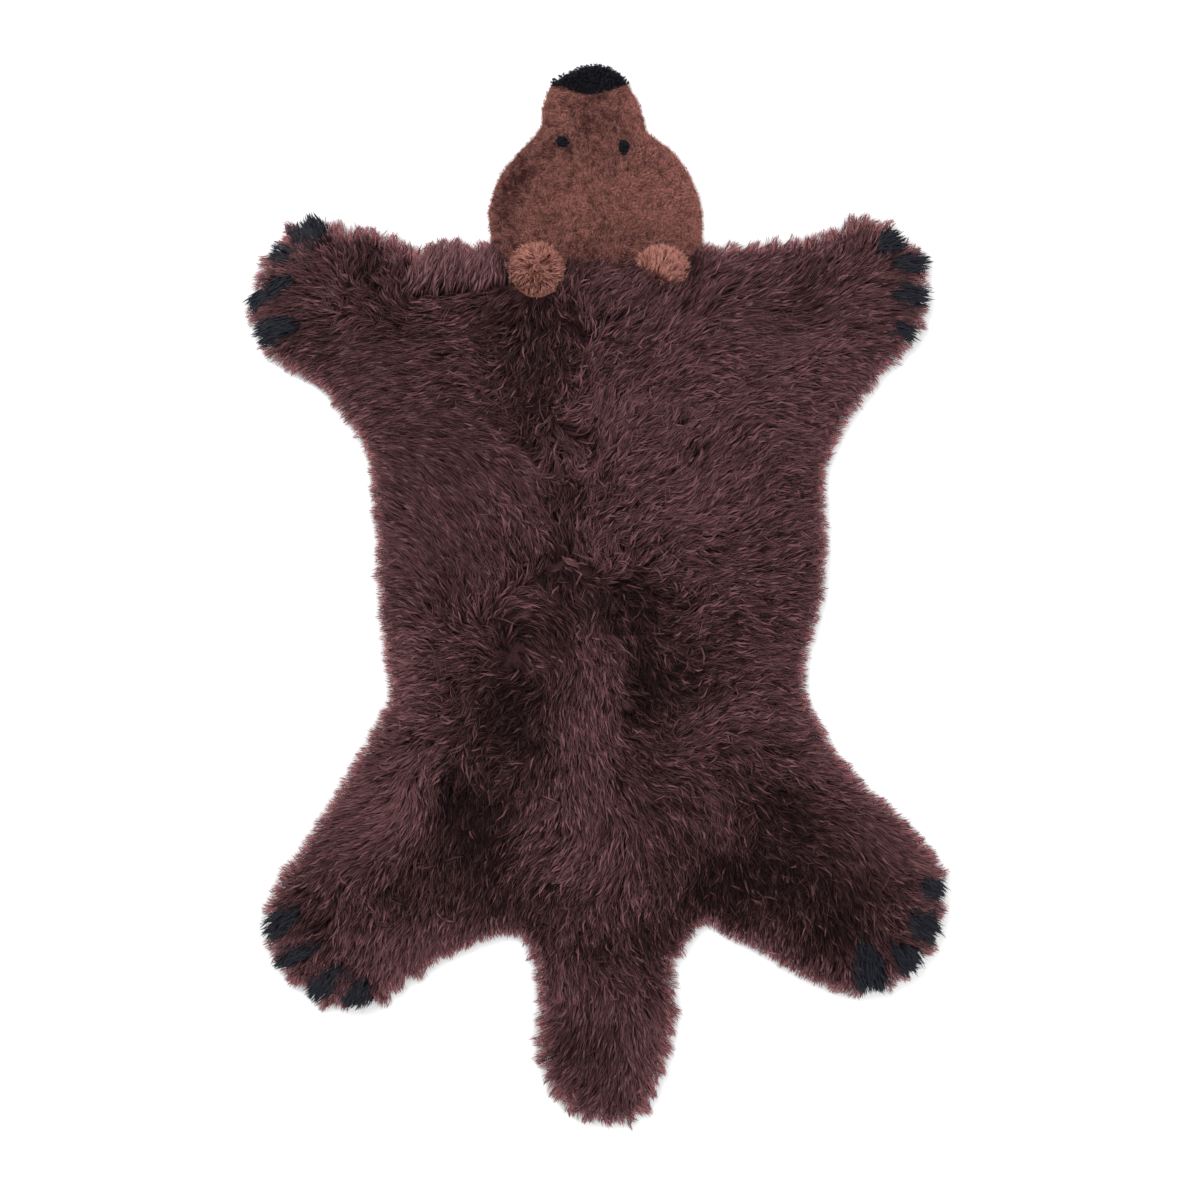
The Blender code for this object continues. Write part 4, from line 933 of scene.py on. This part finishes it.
def add_rim_wool(plan, looks, rng):
    """Fine loose ends at the rim of the long wool, paler and redder with the light behind them."""
    area = plan.area("body", "shoulder_strip") & (plan.rim > RIM_ROOTS[0]) & (plan.rim < RIM_ROOTS[1])
    fall_y, fall_x = np.gradient(-soften(plan.rim, 5.0), STEP)
    turn = unevenness(rng, 10) * math.radians(14)
    across, along = (0.75 * own + 0.5 * out for own, out in ((plan.comb_x, fall_x), (plan.comb_y, fall_y)))
    size = np.hypot(across, along) + 1e-9
    comb = comb_field(*(a / size for a in turned(across, along, np.cos(turn), np.sin(turn))))
    layers = ((RIM, dict(tangle=0.06, overhang=RIM_OVERHANG, tone=RIM_TONE, lift=1.6, fringed=True)),)
    coat("rim_wool", plan, layers, lock_roots(area, RIM.pitch, rng), comb,
         depth(plan.covered & ~plan.area("head")), looks["rim"], [], rng)


def add_strip_wool(plan, looks, rng):
    """The shoulder piece's wool, combed straight up from under the body's."""
    turn = unevenness(rng, 10) * math.radians(7) + np.radians(np.interp(GRID_X, *STRIP_COMB))[None]
    across, along = np.cos(turn), np.sin(turn)
    x, y = lock_roots(plan.area("shoulder_strip") & (plan.rim > ROOTS_INSET), COMBED.pitch, rng)
    roots = x - STRIP_SINK * sample(across, x, y), y - STRIP_SINK * sample(along, x, y)
    layers = ((UNDER, dict(tone=STRIP_UNDER_TONE, tangle=0.0, lift=2.0)),
              (COMBED, dict(tangle=0.0, lift=2.0)))
    coat("combed_strip_wool", plan, layers, roots, comb_field(across, along),
         depth(plan.covered & ~plan.area("head", "ear")), looks["combed"], ["shoulder_strip"], rng)


def add_claws(plan, looks, rng):
    """Black wool combed out over each claw's edge, with a lower layer that reaches the floor."""
    layers = (CLAW_UNDER, dict(tangle=0.1, lift=-1.0)), (CLAW, dict(tangle=0.1, lift=3.5, tone=CLAW_TONE))
    for claw in CLAWS:
        root, tip = np.array(claw.root) - PLAN_ZERO, np.array(claw.tip) - PLAN_ZERO
        way = math.degrees(math.atan2(*(tip - root)[::-1]))
        x, y = lock_roots(grown(plan.area(claw.node), CLAW_GROWN.get(claw.node, 0.0)), CLAW.pitch, rng)
        x, y = (a + by for a, by in zip((x, y), CLAW_MOVED.get(claw.node, (0.0, 0.0))))
        inner = sample(plan.rim, x, y) > CLAW_INSET
        roots = tuple(a[inner] - CLAW_BACK * f(math.radians(way)) for a, f in ((x, math.cos), (y, math.sin)))
        coat(claw.node + "_wool", plan, layers, roots, straight_comb(way), plan.rim, looks["black"],
             [claw.node], rng)


def add_head(plan, looks, rng):
    """Shorn pile, and on it a fine nap that is curled and parted on the right."""
    def pile_top(x, y):
        sunk = 1 + SUNK * np.minimum(sample(plan.shade, x, y), 0)
        return np.maximum(SHORN.rise * sample(plan.nap, x, y) * sunk - PILE_UNDER_TIPS, FELT_LEAST)
    slab("head_pile", grown(plan.area("head"), 4.0) & (plan.rim > 0.0), FINE_PITCH, pile_top, looks["pile"])
    turn = (unevenness(rng, 5) * 0.7 + unevenness(rng, 22) * 0.9) * np.clip(plan.rim / 10, 0.2, 1)
    roots = lock_roots(plan.area("head") & (plan.rim > 0.0), SHORN.pitch, rng)
    spots = soften(rng.standard_normal(plan.top.shape), HEAD_SPOTS)
    spots /= spots.std()
    straight = whorl(HEAD_WHORL)

    def comb(px, py):
        t = sample(turn, px, py)
        return turned(*straight(px, py), np.cos(t), np.sin(t))
    points, tones = strands(plan, SHORN, roots, comb, depth(plan.covered & ~plan.area("eye", "nose")), rng,
                            tangle=0.25 + 0.4 * blob(*roots, *CURLED), overhang=HEAD_OVERHANG,
                            patchy=0.6, lights=0.18)
    root_x, root_y = points[:, :1, 0], points[:, :1, 1]
    parted = blob(root_x, root_y, *PARTED_CURLS)
    # Gaps between curls: the tips dip there and are painted dark as shade; the spots are the wool's own
    # uneven tone.
    gap = np.exp(-(sample(unevenness(rng, CURL_GAP), root_x, root_y) / 0.3) ** 2)
    tones += 0.10 + 0.20 * sample(spots, root_x, root_y) - (0.10 + 0.34 * parted) * gap
    points[:, 1:, 2] -= 1.2 * parted * gap
    ribbons("head_wool", points, tones, SHORN.width, looks["shorn"], ["head"], rng)


TUFT_BASES = (  # node, the share of its height that is matted, its look
    ("ear_left", 0.8, "matted_tan"), ("ear_right", 0.8, "matted_tan"), ("nose", 0.78, "matted_black"),
    ("eye_left", 0.9, "matted_black"), ("eye_right", 0.9, "matted_black"),
)


def add_small_tufts(plan, looks, rng):
    """Ears, nose and eyes: each a matted base with its own tufts on it."""
    for node, share, matted in TUFT_BASES:
        slab(node + "_base", grown(plan.area(node), 2.0) & (plan.rim > 1.0), FINE_PITCH,
             lambda x, y, share=share: np.maximum(share * sample(plan.nap, x, y), FELT_LEAST), looks[matted])
    for ear in EARS:
        area = plan.area(ear.node)
        x, y = lock_roots(area, EAR.pitch, rng)
        dx, dy = away(x, y, ear.comb_from)
        points, tones = strands(plan, EAR, (x, y), whorl(ear.comb_from, ear.swirl), depth(area), rng,
                                tangle=0.2 + 0.8 * np.exp(-(dx ** 2 + dy ** 2) / 60), lift=1.0,
                                overhang=EAR_OVERHANG)
        dx, dy = (points[..., k] - middle for k, middle in ((0, x.mean()), (1, y.mean())))
        # painted light: lighter to the upper right of each ear, darker to its lower left
        tones = 0.5 + EAR_CONTRAST * (tones - 0.5) + EAR_TONE + EAR_PAINTED_LIGHT * (dx + dy) \
            - ear.deep * np.exp(-((dx + 5) ** 2 + (dy - 8) ** 2) / 130)
        ribbons(ear.node + "_wool", points, tones, EAR.width, looks["ear"], [ear.node], rng)
    nose = plan.area("nose")
    coat("nose_wool", plan, ((CURL, dict(tangle=0.8, overhang=NOSE_OVERHANG, tone=NOSE_TONE)),),
         lock_roots(nose, CURL.pitch, rng), whorl(NOSE_WHORL),
         np.minimum(plan.rim + NOSE_LAP, depth(nose | ~plan.covered)), looks["black"], ["nose"], rng)
    for node, middle in EYES:
        area = plan.area(node)
        coat(node + "_wool", plan, ((EYE, dict(tangle=0.6, lift=1.0, overhang=EYE_OVERHANG)),),
             lock_roots(area, EYE.pitch, rng), whorl(middle, EYE_SWIRL), depth(area), looks["black"],
             [node], rng)


def add_underwool(plan, looks):
    """The matted wool that shows deep between the locks, dark as painted shade."""
    brown = plan.covered & grown(plan.covered & ~plan.area("head", "eye", "nose"), 4.0) \
        & (plan.rim > UNDERWOOL_INSET)
    slab("matted_underwool", brown, UNDERWOOL_PITCH,
         lambda x, y: 2.2 + 0.6 * sample(plan.nap, x, y)
         * np.clip(sample(plan.rim, x, y) / UNDERWOOL_THIN, 0.1, 1),
         looks["matted"])


def add_skin(plan, looks):
    """The hide: one flat sheet on the floor under all the wool."""
    area = plan.rim > HIDE_INSET
    skin = slab("suede_skin", area, SKIN_PITCH, lambda x, y: np.full(x.shape, HIDE_THICK), looks["suede"],
                bottom=0.0)


# ---------------------------------------------------------------- studio, in metres and watts

CAMERA_MIDDLE = (0.00302, -0.00358)
FRAME_WIDTH = 1.351
LENS, SENSOR = 85.0, 36.0
PILE_LEVEL = 0.02
FLOOR_HALF, FLOOR_LEVEL = 12.0, -0.0002
LAMPS = (("key", (-1.4, 1.6, 2.4), 1.6, 66), ("fill", (1.6, -0.6, 2.6), 2.4, 34))  # name, place, size, power
WORLD_STRENGTH = 0.9


def add_studio():
    """The camera straight above, a matt white floor, two soft lamps and a white world."""
    scene = bpy.context.scene
    camera = bpy.data.objects.new("camera", bpy.data.cameras.new("camera"))
    camera.data.lens, camera.data.sensor_width = LENS, SENSOR
    camera.location = (*CAMERA_MIDDLE, PILE_LEVEL + FRAME_WIDTH * LENS / SENSOR)
    scene.collection.objects.link(camera)
    scene.camera = camera

    build = bmesh.new()
    bmesh.ops.create_grid(build, x_segments=8, y_segments=8, size=FLOOR_HALF)
    mesh = bpy.data.meshes.new("floor")
    build.to_mesh(mesh)
    build.free()
    floor = bpy.data.objects.new("floor", mesh)
    floor.location.z = FLOOR_LEVEL
    scene.collection.objects.link(floor)
    paint = new_material("matt_white_floor")
    finish_material(paint, {"Base Color": linear("F4F4F4"), "Roughness": 0.9, "Specular IOR Level": 0.1}, {})
    mesh.materials.append(paint)

    for name, place, size, power in LAMPS:
        light = bpy.data.lights.new(name, "AREA")
        light.size, light.energy = size, power
        lamp = bpy.data.objects.new(name, light)
        lamp.location = place
        lamp.rotation_euler = (-Vector(place)).to_track_quat("-Z", "Y").to_euler()
        scene.collection.objects.link(lamp)
    world = bpy.data.worlds.new("studio")
    world.use_nodes = True
    background = world.node_tree.nodes["Background"].inputs
    background["Color"].default_value, background["Strength"].default_value = (1, 1, 1, 1), WORLD_STRENGTH
    scene.world = world
    scene.view_settings.view_transform = "Standard"


def build_rug():
    plan = Plan()
    looks = make_looks()
    add_skin(plan, looks)
    add_underwool(plan, looks)
    for make, seed in ((add_body_wool, 11), (add_rim_wool, 16), (add_strip_wool, 12), (add_claws, 13),
                       (add_head, 14), (add_small_tufts, 15)):
        make(plan, looks, np.random.default_rng(seed))


build_rug()
add_studio()
